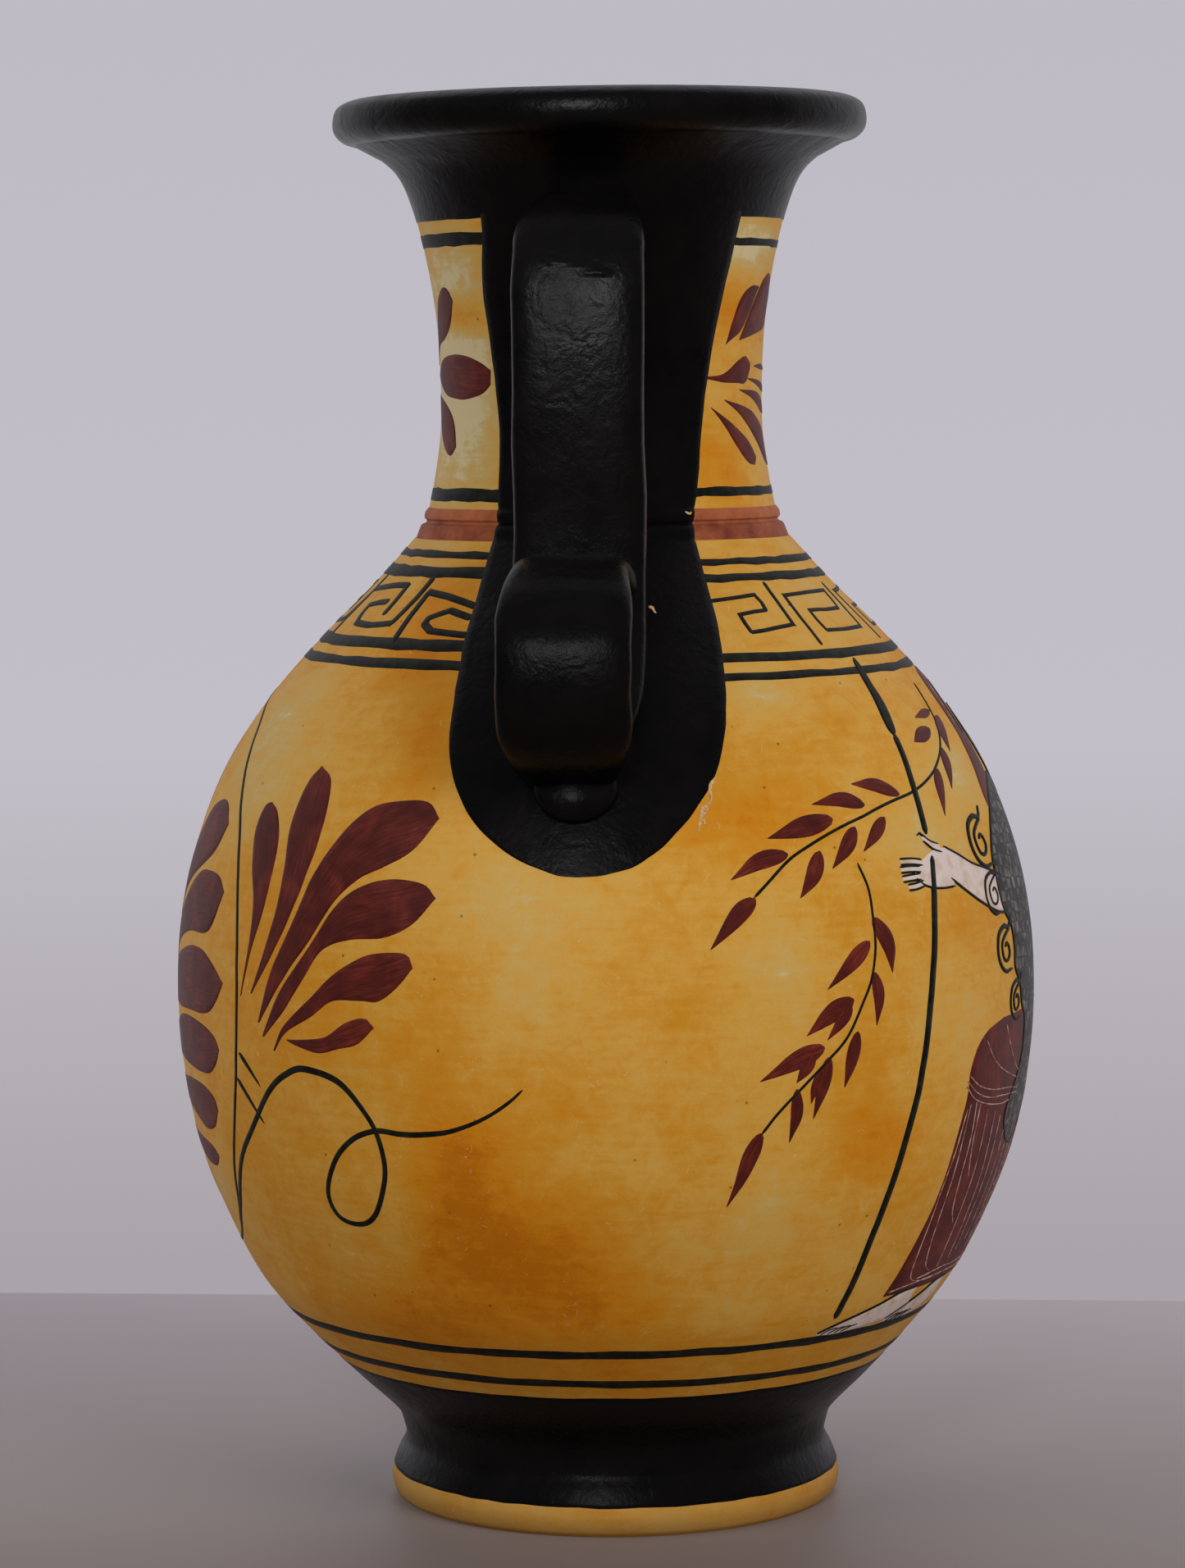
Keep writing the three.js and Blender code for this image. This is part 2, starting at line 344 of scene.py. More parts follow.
dab_part = add_node(
    tree, "ShaderNodeMapRange",
    {"Value": dab.outputs["Fac"], "From Min": 0.3, "From Max": 0.7, "To Min": -0.12, "To Max": 0.12},
)
stroke_map = add_node(tree, "ShaderNodeAttribute", attribute_name="brush")
combed = add_node(
    tree, "ShaderNodeMapping",
    {"Vector": stroke_map.outputs["Vector"], "Rotation": (0.0, 0.0, 0.5), "Scale": (0.75, 0.09, 1.0)},
)
combing = add_node(
    tree, "ShaderNodeTexNoise",
    {"Vector": combed.outputs["Vector"], "Scale": 1.0, "Detail": 5.0, "Roughness": 0.6},
)
comb_part = add_node(
    tree, "ShaderNodeMapRange",
    {"Value": combing.outputs["Fac"], "From Min": 0.3, "From Max": 0.7, "To Min": -0.07, "To Max": 0.07},
)
depth = add_node(tree, "ShaderNodeMath", {0: wash.outputs["Fac"], 1: cloud_part.outputs["Result"]})
depth = add_node(tree, "ShaderNodeMath", {0: depth.outputs["Value"], 1: dab_part.outputs["Result"]})
depth = add_node(tree, "ShaderNodeMath", {0: depth.outputs["Value"], 1: comb_part.outputs["Result"]})
washed = add_node(tree, "ShaderNodeValToRGB", {"Fac": depth.outputs["Value"]})
WASH_COLOURS = [
    (0.0, "#d6c496"), (0.1, "#cfb171"), (0.2, "#d2a95a"), (0.4, "#d6a145"),
    (0.6, "#d19029"), (0.8, "#d08316"), (1.0, "#c06f09"),
]
for spare in list(washed.color_ramp.elements)[1:]:
    washed.color_ramp.elements.remove(spare)
washed.color_ramp.elements[0].color = linear(WASH_COLOURS[0][1])
for stop, colour in WASH_COLOURS[1:]:
    washed.color_ramp.elements.new(stop).color = linear(colour)
scuff = add_node(
    tree, "ShaderNodeTexNoise",
    {"Vector": place, "Scale": 1 / (SCUFF_MM * MM), "Detail": 7.0, "Roughness": 0.72, "Distortion": 2.2},
)
scuffed = add_node(
    tree, "ShaderNodeMapRange",
    {"Value": scuff.outputs["Fac"], "From Min": 0.62, "From Max": 0.68, "To Max": 0.5},
)
bare = add_node(
    tree, "ShaderNodeMix",
    {"Factor": scuffed.outputs["Result"], 6: washed.outputs["Color"], 7: linear("#e3bb80")}, data_type="RGBA",
)
specks = add_node(
    tree, "ShaderNodeTexVoronoi", {"Vector": place, "Scale": 1 / (SPECK_MM * MM), "Randomness": 1.0},
)
speck = add_node(
    tree, "ShaderNodeMapRange",
    {"Value": specks.outputs["Distance"], "From Min": 0.028, "From Max": 0.05, "To Min": 0.62, "To Max": 0.0},
)
dotted = add_node(
    tree, "ShaderNodeMix", {"Factor": speck.outputs["Result"], 6: bare.outputs[2], 7: linear("#5a3a1c")},
    data_type="RGBA",
)
height = add_node(tree, "ShaderNodeSeparateXYZ", {"Vector": place})
# Painted shade: the clay is darkened over its lowest 11 mm, where the foot meets the table.
painted_foot_shade = add_node(
    tree, "ShaderNodeMapRange",
    {"Value": height.outputs["Z"], "From Min": 0.002, "From Max": 0.011, "To Min": 0.55, "To Max": 0.0},
)
foot_shaded = add_node(
    tree, "ShaderNodeMix", {"Factor": painted_foot_shade.outputs["Result"], 6: dotted.outputs[2], 7: linear("#6e5236")},
    data_type="RGBA",
)
tree.links.new(foot_shaded.outputs[2], shader.inputs["Base Color"])
grain = add_node(
    tree, "ShaderNodeTexNoise",
    {"Vector": place, "Scale": 1 / (GRAIN_MM * MM), "Detail": 4.0, "Roughness": 0.6},
)
dry = add_node(
    tree, "ShaderNodeMapRange",
    {"Value": cloud.outputs["Fac"], "From Min": 0.3, "From Max": 0.7, "To Min": 0.5, "To Max": 0.64},
)
tree.links.new(dry.outputs["Result"], shader.inputs["Roughness"])
relief = add_node(tree, "ShaderNodeMath", {0: grain.outputs["Fac"], 1: scuffed.outputs["Result"]})
bump = add_node(
    tree, "ShaderNodeBump", {"Height": relief.outputs["Value"], "Strength": 0.35, "Distance": 0.00012},
)
tree.links.new(bump.outputs["Normal"], shader.inputs["Normal"])
shader.inputs["IOR"].default_value = 1.5
shader.inputs["Specular IOR Level"].default_value = 0.16

# Each patch of wash: degrees round, height, half-width in degrees, half-height, how much darker.
WASH_AT_REST = 0.44
WASH_PATCHES = [
    (-62, 152, 14, 14, -0.36), (-24, 158, 5, 9, 0.32), (-31, 171, 8, 4, 0.25), (-8, 129, 11, 12, -0.27),
    (-6, 112, 5, 9, -0.2), (27, 116, 6.5, 9, -0.22), (32, 165, 7, 6, -0.26), (24, 143, 13, 7, 0.26),
    (56, 136, 8, 8, -0.28), (58, 121, 10, 6, 0.17), (-44, 106, 11, 22, 0.18), (-20, 100, 5, 10, 0.22),
    (-14, 80, 7, 11, 0.4), (-12, 60, 15, 13, 0.54), (-28, 46, 16, 7, 0.36), (2, 50, 10, 8, 0.32),
    (24, 68, 11, 12, -0.16), (42, 82, 8, 8, 0.34), (-68, 66, 6, 6, -0.22), (-48, 57, 8, 7, 0.16),
    (60, 100, 10, 12, -0.12), (70, 148, 8, 8, -0.3), (8, 79, 5, 6, -0.14), (13, 108, 5, 8, 0.08),
    (-36, 180, 10, 8, 0.3), (58, 182, 26, 8, -0.1), (-60, 226, 34, 26, -0.68), (-54, 236.5, 20, 3.8, 0.6),
    (60, 250, 26, 5.5, -0.52), (62, 237, 18, 5, 0.34), (50, 206, 14, 7, 0.32), (78, 214, 10, 12, -0.1),
    (8, 36, 40, 6, 0.2), (-26, 64, 2.6, 12, -0.2), (38, 98, 5, 6, 0.1), (0, 92, 5, 6, 0.1),
]
# Thirty more patches, at random within these limits, cover the back.
PATCH_LIMITS = [(92, 262), (38, 245), (5, 15), (6, 18), (-0.32, 0.4)]
rng = np.random.default_rng(7)
for _ in range(30):
    WASH_PATCHES.append(tuple(rng.uniform(low, high) for low, high in PATCH_LIMITS))


def brush_on_wash(piece):
    """Stores how dark the wash is at each point: the rest value plus one soft bell for each
    patch, exp(-(turn/half-width)^2 - (rise/half-height)^2), times its strength."""
    count = len(piece.data.vertices)
    points = np.empty(count * 3)
    piece.data.vertices.foreach_get("co", points)
    x, y, z = points.reshape(-1, 3).T / MM
    turn = np.degrees(np.arctan2(x, -y))
    depth = np.full(count, WASH_AT_REST)
    for at, level, half_turn, half_rise, strength in WASH_PATCHES:
        away = (turn - at + 180) % 360 - 180
        depth += strength * np.exp(-((away / half_turn) ** 2) - ((z - level) / half_rise) ** 2)
    piece.data.attributes.new("wash", "FLOAT", "POINT").data.foreach_set("value", depth)


foot = turned(
    "foot_ring", FOOT_RECESS + foot_skin.tolist() + [(0, FOOT_TOP)], ochre, ["foot"]
)
inner = inner_wall(belly_skin, WALL)
inner = inner[(inner[:, 1] > INSIDE_FLOOR + 2) & (inner[:, 1] < belly_skin[-1, 1] - 0.5)]
inner = np.vstack([inner[:-1:6], inner[-1:]])  # the inside hardly shows, so it has fewer rows
inside = [(inner[-1, 0], belly_skin[-1, 1])] + inner[::-1].tolist() + [(30, INSIDE_FLOOR), (0, INSIDE_FLOOR)]
belly = turned(
    "thrown_belly", [(0, FOOT_TOP)] + belly_skin.tolist() + inside, ochre, ["belly"]
)
brush_on_wash(foot)
brush_on_wash(belly)

# ---- Collar and neck ------------------------------------------------------------------------
# The neck is thrown as its own cylinder and flared by hand. Where it sits on the shoulder a
# collar of clay is turned over the joint, with one sharp groove cut round it.

COLLAR = [
    (37.2, 192.9), (36.7, 194.2), (36.1, 195.5), (35.2, 195.95), (35.1, 196.45), (35.5, 196.95),
    (35.3, 198.1), (34.6, 198.95),
]
NECK = [
    (34.5, 198.95), (33.3, 205), (32.1, 214), (32, 224), (32.7, 236), (34.6, 248), (37.2, 258.5),
    (40.4, 265.6), (46.4, 270.75),
]
collar_skin = through(COLLAR, 60)
neck_skin = through(NECK, 150)
neck_inner = inner_wall(neck_skin, WALL)
neck_inner = neck_inner[neck_inner[:, 1] < neck_skin[-1, 1] - WALL / 4]
neck_loop = neck_skin.tolist() + [(neck_inner[-1, 0], neck_skin[-1, 1])] + neck_inner[::-1].tolist()
neck_loop += [(neck_inner[0, 0], neck_skin[0, 1])]
neck = turned("flared_neck", neck_loop, ochre, ["neck"], ring=True)
brush_on_wash(neck)
collar_loop = collar_skin.tolist() + [(29.7, COLLAR[-1][1]), (29.7, COLLAR[0][1])]

# Iron-oxide slip, ground with a little binder and brushed on: matt dark red, thinner and
# brighter where the brush lifted, with streaks along each stroke.
iron_red, tree, shader = start_material("iron_red_slip")
where = add_node(tree, "ShaderNodeTexCoord")
stroke_map = add_node(tree, "ShaderNodeAttribute", attribute_name="brush")
stretch = add_node(
    tree, "ShaderNodeMapping", {"Vector": stroke_map.outputs["Vector"], "Scale": (2.4, 0.16, 31.0)},
)
hairs = add_node(
    tree, "ShaderNodeTexNoise",
    {"Vector": stretch.outputs["Vector"], "Scale": 1.0, "Detail": 4.0, "Roughness": 0.6},
)
pool = add_node(
    tree, "ShaderNodeTexNoise",
    {"Vector": where.outputs["Object"], "Scale": 1 / (7 * MM), "Detail": 4.0, "Distortion": 0.6},
)
thin = add_node(
    tree, "ShaderNodeMath", {0: hairs.outputs["Fac"], 1: pool.outputs["Fac"]}, operation="MULTIPLY",
)
tint = add_node(tree, "ShaderNodeValToRGB", {"Fac": thin.outputs["Value"]})
tint.color_ramp.elements[0].position = 0.1
tint.color_ramp.elements[0].color = linear("#3d110d")
tint.color_ramp.elements[1].position = 0.46
tint.color_ramp.elements[1].color = linear("#7e3022")
tint.color_ramp.elements.new(0.24).color = linear("#551b13")
tree.links.new(tint.outputs["Color"], shader.inputs["Base Color"])
shader.inputs["Roughness"].default_value = 0.56
shader.inputs["Specular IOR Level"].default_value = 0.35
bump = add_node(
    tree, "ShaderNodeBump", {"Height": thin.outputs["Value"], "Strength": 0.25, "Distance": 0.0001},
)
tree.links.new(bump.outputs["Normal"], shader.inputs["Normal"])

# Red ochre wash: the iron red let down with water for the collar, rust-coloured and uneven, and
# paler on the upper ridge, where the brush wiped it off.
red_wash, tree, shader = start_material("red_ochre_wash")
where = add_node(tree, "ShaderNodeTexCoord")
uneven = add_node(
    tree, "ShaderNodeTexNoise",
    {"Vector": where.outputs["Object"], "Scale": 1 / (6 * MM), "Detail": 6.0, "Roughness": 0.65},
)
height = add_node(tree, "ShaderNodeSeparateXYZ", {"Vector": where.outputs["Object"]})
upper = add_node(
    tree, "ShaderNodeMapRange",
    {"Value": height.outputs["Z"], "From Min": 0.1955, "From Max": 0.1968, "To Min": -0.12, "To Max": 0.12},
)
wiped = add_node(tree, "ShaderNodeMath", {0: uneven.outputs["Fac"], 1: upper.outputs["Result"]})
tint = add_node(tree, "ShaderNodeValToRGB", {"Fac": wiped.outputs["Value"]})
tint.color_ramp.elements[0].position = 0.25
tint.color_ramp.elements[0].color = linear("#773726")
tint.color_ramp.elements[1].position = 0.75
tint.color_ramp.elements[1].color = linear("#b96a42")
tree.links.new(tint.outputs["Color"], shader.inputs["Base Color"])
shader.inputs["Roughness"].default_value = 0.6
shader.inputs["Specular IOR Level"].default_value = 0.2
bump = add_node(
    tree, "ShaderNodeBump", {"Height": uneven.outputs["Fac"], "Strength": 0.4, "Distance": 0.0002},
)
tree.links.new(bump.outputs["Normal"], shader.inputs["Normal"])
turned("grooved_collar", collar_loop, red_wash, ["collar"], ring=True)

# ---- Rolled lip -----------------------------------------------------------------------------
# The rim is folded outwards into a thick soft roll, smoothed with a wet leather, and painted
# with the same black slip as the handles and the foot.

LIP = [
    (46.4, 270.75), (50.4, 271.6), (52.5, 273.4), (52.95, 275.8), (52.2, 278.4), (50, 279.75), (47.6, 279.95),
    (45.2, 279), (43.3, 275.6), (41.2, 270.75),
]

# Black slip, brushed on in two coats and burnished while damp: a satin black, faintly warm, with
# shallow brush ridges and a pitted skin that break up its soft highlights.
black_slip, tree, shader = start_material("burnished_black_slip")
where = add_node(tree, "ShaderNodeTexCoord")
place = where.outputs["Object"]
thickness = add_node(
    tree, "ShaderNodeTexNoise", {"Vector": place, "Scale": 1 / (9 * MM), "Detail": 5.0, "Roughness": 0.6},
)
pits = add_node(
    tree, "ShaderNodeTexNoise",
    {"Vector": place, "Scale": 1 / (1.3 * MM), "Detail": 4.0, "Roughness": 0.62},
)
ridges = add_node(
    tree, "ShaderNodeTexNoise",
    {"Vector": place, "Scale": 1 / (4.5 * MM), "Detail": 3.0, "Distortion": 0.8},
)
tone = add_node(tree, "ShaderNodeValToRGB", {"Fac": thickness.outputs["Fac"]})
tone.color_ramp.elements[0].position = 0.3
tone.color_ramp.elements[0].color = linear("#090809")
tone.color_ramp.elements[1].position = 0.75
tone.color_ramp.elements[1].color = linear("#100d0d")
tree.links.new(tone.outputs["Color"], shader.inputs["Base Color"])
sheen = add_node(
    tree, "ShaderNodeMapRange",
    {"Value": thickness.outputs["Fac"], "From Min": 0.3, "From Max": 0.7, "To Min": 0.26, "To Max": 0.38},
)
tree.links.new(sheen.outputs["Result"], shader.inputs["Roughness"])
shader.inputs["Specular IOR Level"].default_value = 0.17
fine = add_node(
    tree, "ShaderNodeBump", {"Height": pits.outputs["Fac"], "Strength": 0.5, "Distance": 0.0002},
)
coarse = add_node(
    tree, "ShaderNodeBump",
    {"Height": ridges.outputs["Fac"], "Strength": 0.4, "Distance": 0.0005, "Normal": fine.outputs["Normal"]},
)
tree.links.new(coarse.outputs["Normal"], shader.inputs["Normal"])
lip_skin = through(LIP, 90)
turned("rolled_lip", lip_skin, black_slip, ["lip"], ring=True)

# ---- Two handles ----------------------------------------------------------------------------
# Each handle is a strap pulled from a lump of clay: it springs from under the lip, drops to the
# shoulder and turns in. A second short strap is curled over its foot as a scroll, and a thumbed
# lump of clay ties the scroll's end to the belly.

STRAP_WIDTH, STRAP_THICK = 25, 6.9
SCROLL_WIDTH, SCROLL_THICK = 25, 6.3
STRAP = [
    (34, 255.8), (43, 256.4), (51, 253.2), (56.3, 246), (58.6, 235), (59.4, 221), (59, 207), (58.3, 195),
    (58.8, 185), (61.2, 176), (65.4, 168.4), (70.3, 161), (74.8, 152.4),
]
SCROLL = [
    (58.5, 184.5), (66.5, 188), (75.5, 188), (83.6, 184.2), (89, 177.6), (90.6, 169.6), (89, 161.6),
    (84.3, 155.8), (78, 152.4), (71, 150.6),
]
ROOT = (76.2, 148.4)
ROOT_SIZE = (7.6, 3.7, 6.6)
ROOT_LEAN = 0.47
THUMB_DENT = 0.09
SCROLL_SHIFT = 0.7
# The faults of a pulled strap: how far its edges wander and at how many places, and the height
# up the vase, the thickness and the half-width of the scar across it.
WAVE, WAVES = 0.2, 18
SCAR_AT, SCAR_TALL, SCAR_HALF_WIDE = 243.8, 0.6, 0.42


def pulled_strap(path, width, thickness, squareness, rng, scar=None, steps=420, around=64):
    """A flattened oval carried along a path of (out, height): width across, thickness along the
    path's own normal, both as signed powers of cosine and sine so that the faces are nearly
    flat and the edges round. width is a function of height. The pulling hand leaves both edges
    wavy, by random steps joined up, and a scar is a low ridge across the outer face: a bell
    exp(-(away/half-width)^2) round a height that two sine waves of the side distance bend."""
    line = through(path, steps)
    step = np.gradient(line, axis=0)
    step /= np.linalg.norm(step, axis=1, keepdims=True)
    angle = np.linspace(0, 2 * math.pi, around, endpoint=False)
    power = 2 / squareness
    across = np.sign(np.cos(angle)) * np.abs(np.cos(angle)) ** power
    through_it = np.sign(np.sin(angle)) * np.abs(np.sin(angle)) ** power
    half = width(line[:, 1])[:, None] / 2
    at = np.linspace(0, WAVES - 1, steps)
    waves = [np.interp(at, np.arange(WAVES), rng.uniform(-WAVE, WAVE, WAVES))[:, None] for _ in range(3)]
    side = half * across + np.where(across > 0, waves[0], waves[1]) * across**2
    thick = thickness / 2 * through_it + 0.5 * waves[2] * through_it
    if scar:
        away = line[:, 1:] - scar + 0.2 * side - 0.4 * np.sin(1.7 * side) - 0.2 * np.sin(4.3 * side)
        face = np.sign(-step[:, 1:])
        ridge = SCAR_TALL * np.exp(-((away / SCAR_HALF_WIDE) ** 2))
        outside = through_it * face > 0.5
        thick = thick + ridge * outside * face * ease((7 - np.abs(side)) / 2)
    out = line[:, :1] + thick * -step[:, 1:]
    height = line[:, 1:] + thick * step[:, :1]
    return np.stack([side, -out, height], -1)


def thumbed_lump(steps=40, around=64):
    """An egg: half-width across, half-thickness and half-height along two leaning directions,
    cosine of latitude times cosine and sine of longitude, its width dented by the thumb."""
    latitude = np.linspace(-math.pi / 2, math.pi / 2, steps)[:, None]
    longitude = np.linspace(0, 2 * math.pi, around, endpoint=False)
    pressed = 1 + THUMB_DENT * np.sin(3 * longitude + 0.7) * np.cos(latitude)
    across = ROOT_SIZE[0] * np.cos(latitude) * np.cos(longitude) * pressed
    thick = ROOT_SIZE[1] * np.cos(latitude) * np.sin(longitude)
    tall = ROOT_SIZE[2] * np.sin(latitude) + 0 * longitude
    out = ROOT[0] + thick * math.cos(ROOT_LEAN) - tall * math.sin(ROOT_LEAN)
    height = ROOT[1] + thick * math.sin(ROOT_LEAN) + tall * math.cos(ROOT_LEAN)
    return np.stack([across, -out, height], -1)


def narrowing(z, start, reach, share):
    """Share of the width lost at a height: a parabola, nothing at start and all of share a reach
    further up, or further down where the reach is negative."""
    return share * np.clip((z - start) / reach, 0, 1) ** 2


def strap_width(z):
    """Full width, less at the foot where it runs into the belly and at the top by the neck."""
    return STRAP_WIDTH * (1 - (narrowing(z, 168, -18, 0.6) + narrowing(z, 249, 7.4, 0.26)))


def scroll_width(z):
    """Full width, less below and above the curl."""
    return SCROLL_WIDTH * (1 - (narrowing(z, 162, -12, 0.4) + narrowing(z, 180, 12, 0.3)))


def closed_faces(rows, columns):
    """A tube's squares, and one face over each open end."""
    last = (rows - 1) * columns
    return squares(rows, columns) + [list(range(columns))[::-1], list(range(last, last + columns))]


# Fingers have burnished the lip and the straps. Elsewhere the same slip is duller, as brushed.
brushed_black = black_slip.copy()
brushed_black.name = "brushed_black_slip"
brushed_black.node_tree.nodes["Principled BSDF"].inputs["Specular IOR Level"].default_value = 0.1

rng = np.random.default_rng(5)
for side, turn in (("left", 1), ("right", -1)):
    strap = pulled_strap(STRAP, strap_width, STRAP_THICK, 3.8, rng, scar=SCAR_AT)
    scroll = pulled_strap(SCROLL, scroll_width, SCROLL_THICK, 3.4, rng)
    scroll[..., 0] -= SCROLL_SHIFT
    root = thumbed_lump()
    for part, grid in (("strap", strap), ("scroll", scroll), ("root", root)):
        turned_round = hand_made(grid * (turn, turn, 1))
        rows, columns = grid.shape[:2]
        put_mesh(
            f"{side}_{part}_clay", turned_round.reshape(-1, 3), closed_faces(rows, columns),
            black_slip if part == "strap" else brushed_black, [f"{side}_{part}"], crease=60,
        )

# ---- Black slip round the neck and foot, and under the handles ------------------------------
# The same black slip is brushed on the clay itself: round the flare of the neck, over the waist
# and foot but for their lowest edge, and in a long tongue down the vase behind each handle.

# The outside of the clay from the foot to the underside of the lip, at every 0.2 mm of height:
# its radius, its slope, and the distance run along it. Coats of paint lie on this skin.
skin = np.vstack([lower_skin, collar_skin, neck_skin, lip_skin[1:11]])
LEVELS = np.arange(0, 271.3, 0.2)
RADII = np.interp(LEVELS, skin[:, 1], skin[:, 0])
SLOPES = np.gradient(RADII, LEVELS)
RUNS = np.cumsum(np.hypot(1, SLOPES)) * (LEVELS[1] - LEVELS[0])
PAINT_EDGE = 0.25
PAINT_SUNK = 0.06
PAINT_BACK = 0.2


def on_clay(turn, level, lift):
    """Point on the outside of the clay, degrees round and a height up, raised by lift along the
    surface's normal, which is one out and the profile's slope down."""
    radius, slope = np.interp(level, LEVELS, RADII), np.interp(level, LEVELS, SLOPES)
    lean = np.hypot(1, slope)
    out = radius + lift / lean
    angle = np.radians(turn)
    return hand_made(np.stack([out * np.sin(angle), -out * np.cos(angle), level - lift * slope / lean], -1))


def brush_length(line):
    """Length travelled over the clay at each point of a line of (turn, height)."""
    radius, run = np.interp(line[:, 1], LEVELS, RADII), np.interp(line[:, 1], LEVELS, RUNS)
    steps = np.hypot(np.radians(np.diff(line[:, 0])) * radius[1:], np.diff(run))
    return np.concatenate([[0], np.cumsum(steps)])


def even_line(points, count=None, step=0.9):
    """The smooth curve through the points, cut into equal steps of its length on the clay."""
    fine = through(points, 14 * len(points))
    gone = brush_length(fine)
    count = count or max(7, int(gone[-1] / step))
    at = np.linspace(0, gone[-1], count)
    return np.stack([np.interp(at, gone, column) for column in fine.T], -1)


def shaken(line, amount, rng):
    """The line as an unsteady hand draws it: slow random steps of up to the amount in mm."""
    knots = max(3, int(brush_length(line)[-1] / 3.5))
    at = np.linspace(0, knots - 1, len(line))
    sway = [np.interp(at, np.arange(knots), rng.uniform(-amount, amount, knots)) for _ in range(2)]
    moved = line.copy()
    moved[:, 0] += np.degrees(sway[0] / np.interp(line[:, 1], LEVELS, RADII))
    moved[:, 1] += sway[1]
    return moved


def coat(left, right, columns=5, lift=0.1, ring=False, seed=0.0):
    """A closed skin of paint between two edges of (turn, height): flat on top, thinning to
    nothing over its last quarter millimetre, with its back just under the clay's surface."""
    radius = np.interp((left[:, 1] + right[:, 1]) / 2, LEVELS, RADII)
    wide = np.hypot(
        np.radians(right[:, 0] - left[:, 0]) * radius,
        np.interp(right[:, 1], LEVELS, RUNS) - np.interp(left[:, 1], LEVELS, RUNS),
    )[:, None]
    edge = np.minimum(PAINT_EDGE / np.maximum(wide, 0.01), 0.25)
    share = np.linspace(0, 1, columns)
    back = np.array([0.75, 0.5, 0.25])
    across = np.hstack([0 * edge, edge + share * (1 - 2 * edge), 1 + 0 * edge, back + 0 * edge])
    raised = np.full(across.shape, lift)
    raised[:, [0, columns + 1]] = -PAINT_SUNK
    raised[:, columns + 2:] = -PAINT_BACK
    turn = left[:, :1] * (1 - across) + right[:, :1] * across
    level = left[:, 1:2] * (1 - across) + right[:, 1:2] * across
    along = brush_length((left[:, :2] + right[:, :2]) / 2)[:, None] + 0 * across
    brush = np.stack([(across - 0.5) * wide, along, seed + 0 * across], -1)
    rows, around = across.shape
    faces = squares(rows, around, ring) if ring else closed_faces(rows, around)
    return on_clay(turn, level, raised).reshape(-1, 3), brush.reshape(-1, 3), faces


def painted(name, coats, material):
    """One object from several coats of paint of one colour."""
    points, brush, faces, first = [], [], [], 0
    for coat_points, coat_brush, coat_faces in coats:
        points.append(coat_points)
        brush.append(coat_brush)
        faces += [[corner + first for corner in face] for face in coat_faces]
        first += len(coat_points)
    brush = np.concatenate(brush)
    return put_mesh(name, np.concatenate(points), faces, material, brush=brush, crease=75, merge=False)


def band(low, high, lift=0.1, shake=0.1, columns=3, seed=1):
    """A band painted right round between two heights; each may be a function of the turn."""
    turn = np.linspace(0, 360, 361)[:-1]
    rng = np.random.default_rng(seed)
    edges = []
    for level in (low, high):
        height = level(turn) if callable(level) else np.full(len(turn), float(level))
        waver = np.interp(turn, np.linspace(0, 360, 73), np.resize(rng.uniform(-shake, shake, 72), 73))
        edges.append(np.stack([turn, height + waver], -1))
    return coat(edges[0], edges[1], columns, lift, ring=True, seed=seed)


NECK_BLACK_FROM = 255.5
FOOT_BLACK = (5.9, 30)
# Left and right edges of the tongue: the same heights, in degrees round from the handle.
TONGUE = [
    (132.75, 0.4, 2.6), (133.1, -2.2, 4.6), (135, -6.3, 8.8), (138.5, -10.6, 12.4), (143, -14.4, 15.9),
    (148, -17.2, 19.0), (153, -19.2, 21.6), (159, -20.8, 23.7), (165, -22, 25.4), (172, -23.9, 27.4),
    (179, -25.9, 29.5), (187, -28.4, 31.2), (192, -30.2, 32.6), (194.4, -30.7, 33.4), (196.3, -31, 34.2),
    (198.5, -31.6, 35.2), (202, -32.4, 37.2), (210, -33.6, 40.2), (220, -35.4, 43.2), (230, -37.6, 46.4),
    (240, -39.1, 50), (246, -38.2, 51.4), (251, -36.2, 52.3), (256.6, -35, 53.2),
]
black_coats = [
    band(NECK_BLACK_FROM, LEVELS[-1], lift=0.12, shake=0.1, columns=40, seed=2),
    band(FOOT_BLACK[0], FOOT_BLACK[1], lift=0.12, shake=0.12, columns=34, seed=3),
]
rng = np.random.default_rng(4)
for handle_turn in (0, 180):
    edges = [even_line([(row[side] + handle_turn, row[0]) for row in TONGUE], 230) for side in (1, 2)]
    edges = [shaken(edge, 0.12, rng) for edge in edges]
    black_coats.append(coat(edges[0], edges[1], columns=34, lift=0.17))
painted("black_grounds", black_coats, brushed_black)

# ---- Lines and key pattern ------------------------------------------------------------------
# Thin lines are drawn with a long-haired brush while the vase turns slowly on a wheel. The key
# pattern between them is drawn freehand, stroke by stroke, from one handle to the other.

# Green-black line paint: manganese slip in gum, matt, thinner and greener where the brush ran dry.
line_slip, tree, shader = start_material("manganese_line_slip")
where = add_node(tree, "ShaderNodeTexCoord")
dryness = add_node(
    tree, "ShaderNodeTexNoise", {"Vector": where.outputs["Object"], "Scale": 1 / (2.2 * MM), "Detail": 4.0},
)
tint = add_node(tree, "ShaderNodeValToRGB", {"Fac": dryness.outputs["Fac"]})
tint.color_ramp.elements[0].position = 0.4
tint.color_ramp.elements[0].color = linear("#0d0e0a")
tint.color_ramp.elements[1].position = 0.75
tint.color_ramp.elements[1].color = linear("#23251a")
tree.links.new(tint.outputs["Color"], shader.inputs["Base Color"])
shader.inputs["Roughness"].default_value = 0.52
shader.inputs["Specular IOR Level"].default_value = 0.2
bump = add_node(
    tree, "ShaderNodeBump", {"Height": dryness.outputs["Fac"], "Strength": 0.2, "Distance": 0.0001},
)
tree.links.new(bump.outputs["Normal"], shader.inputs["Normal"])


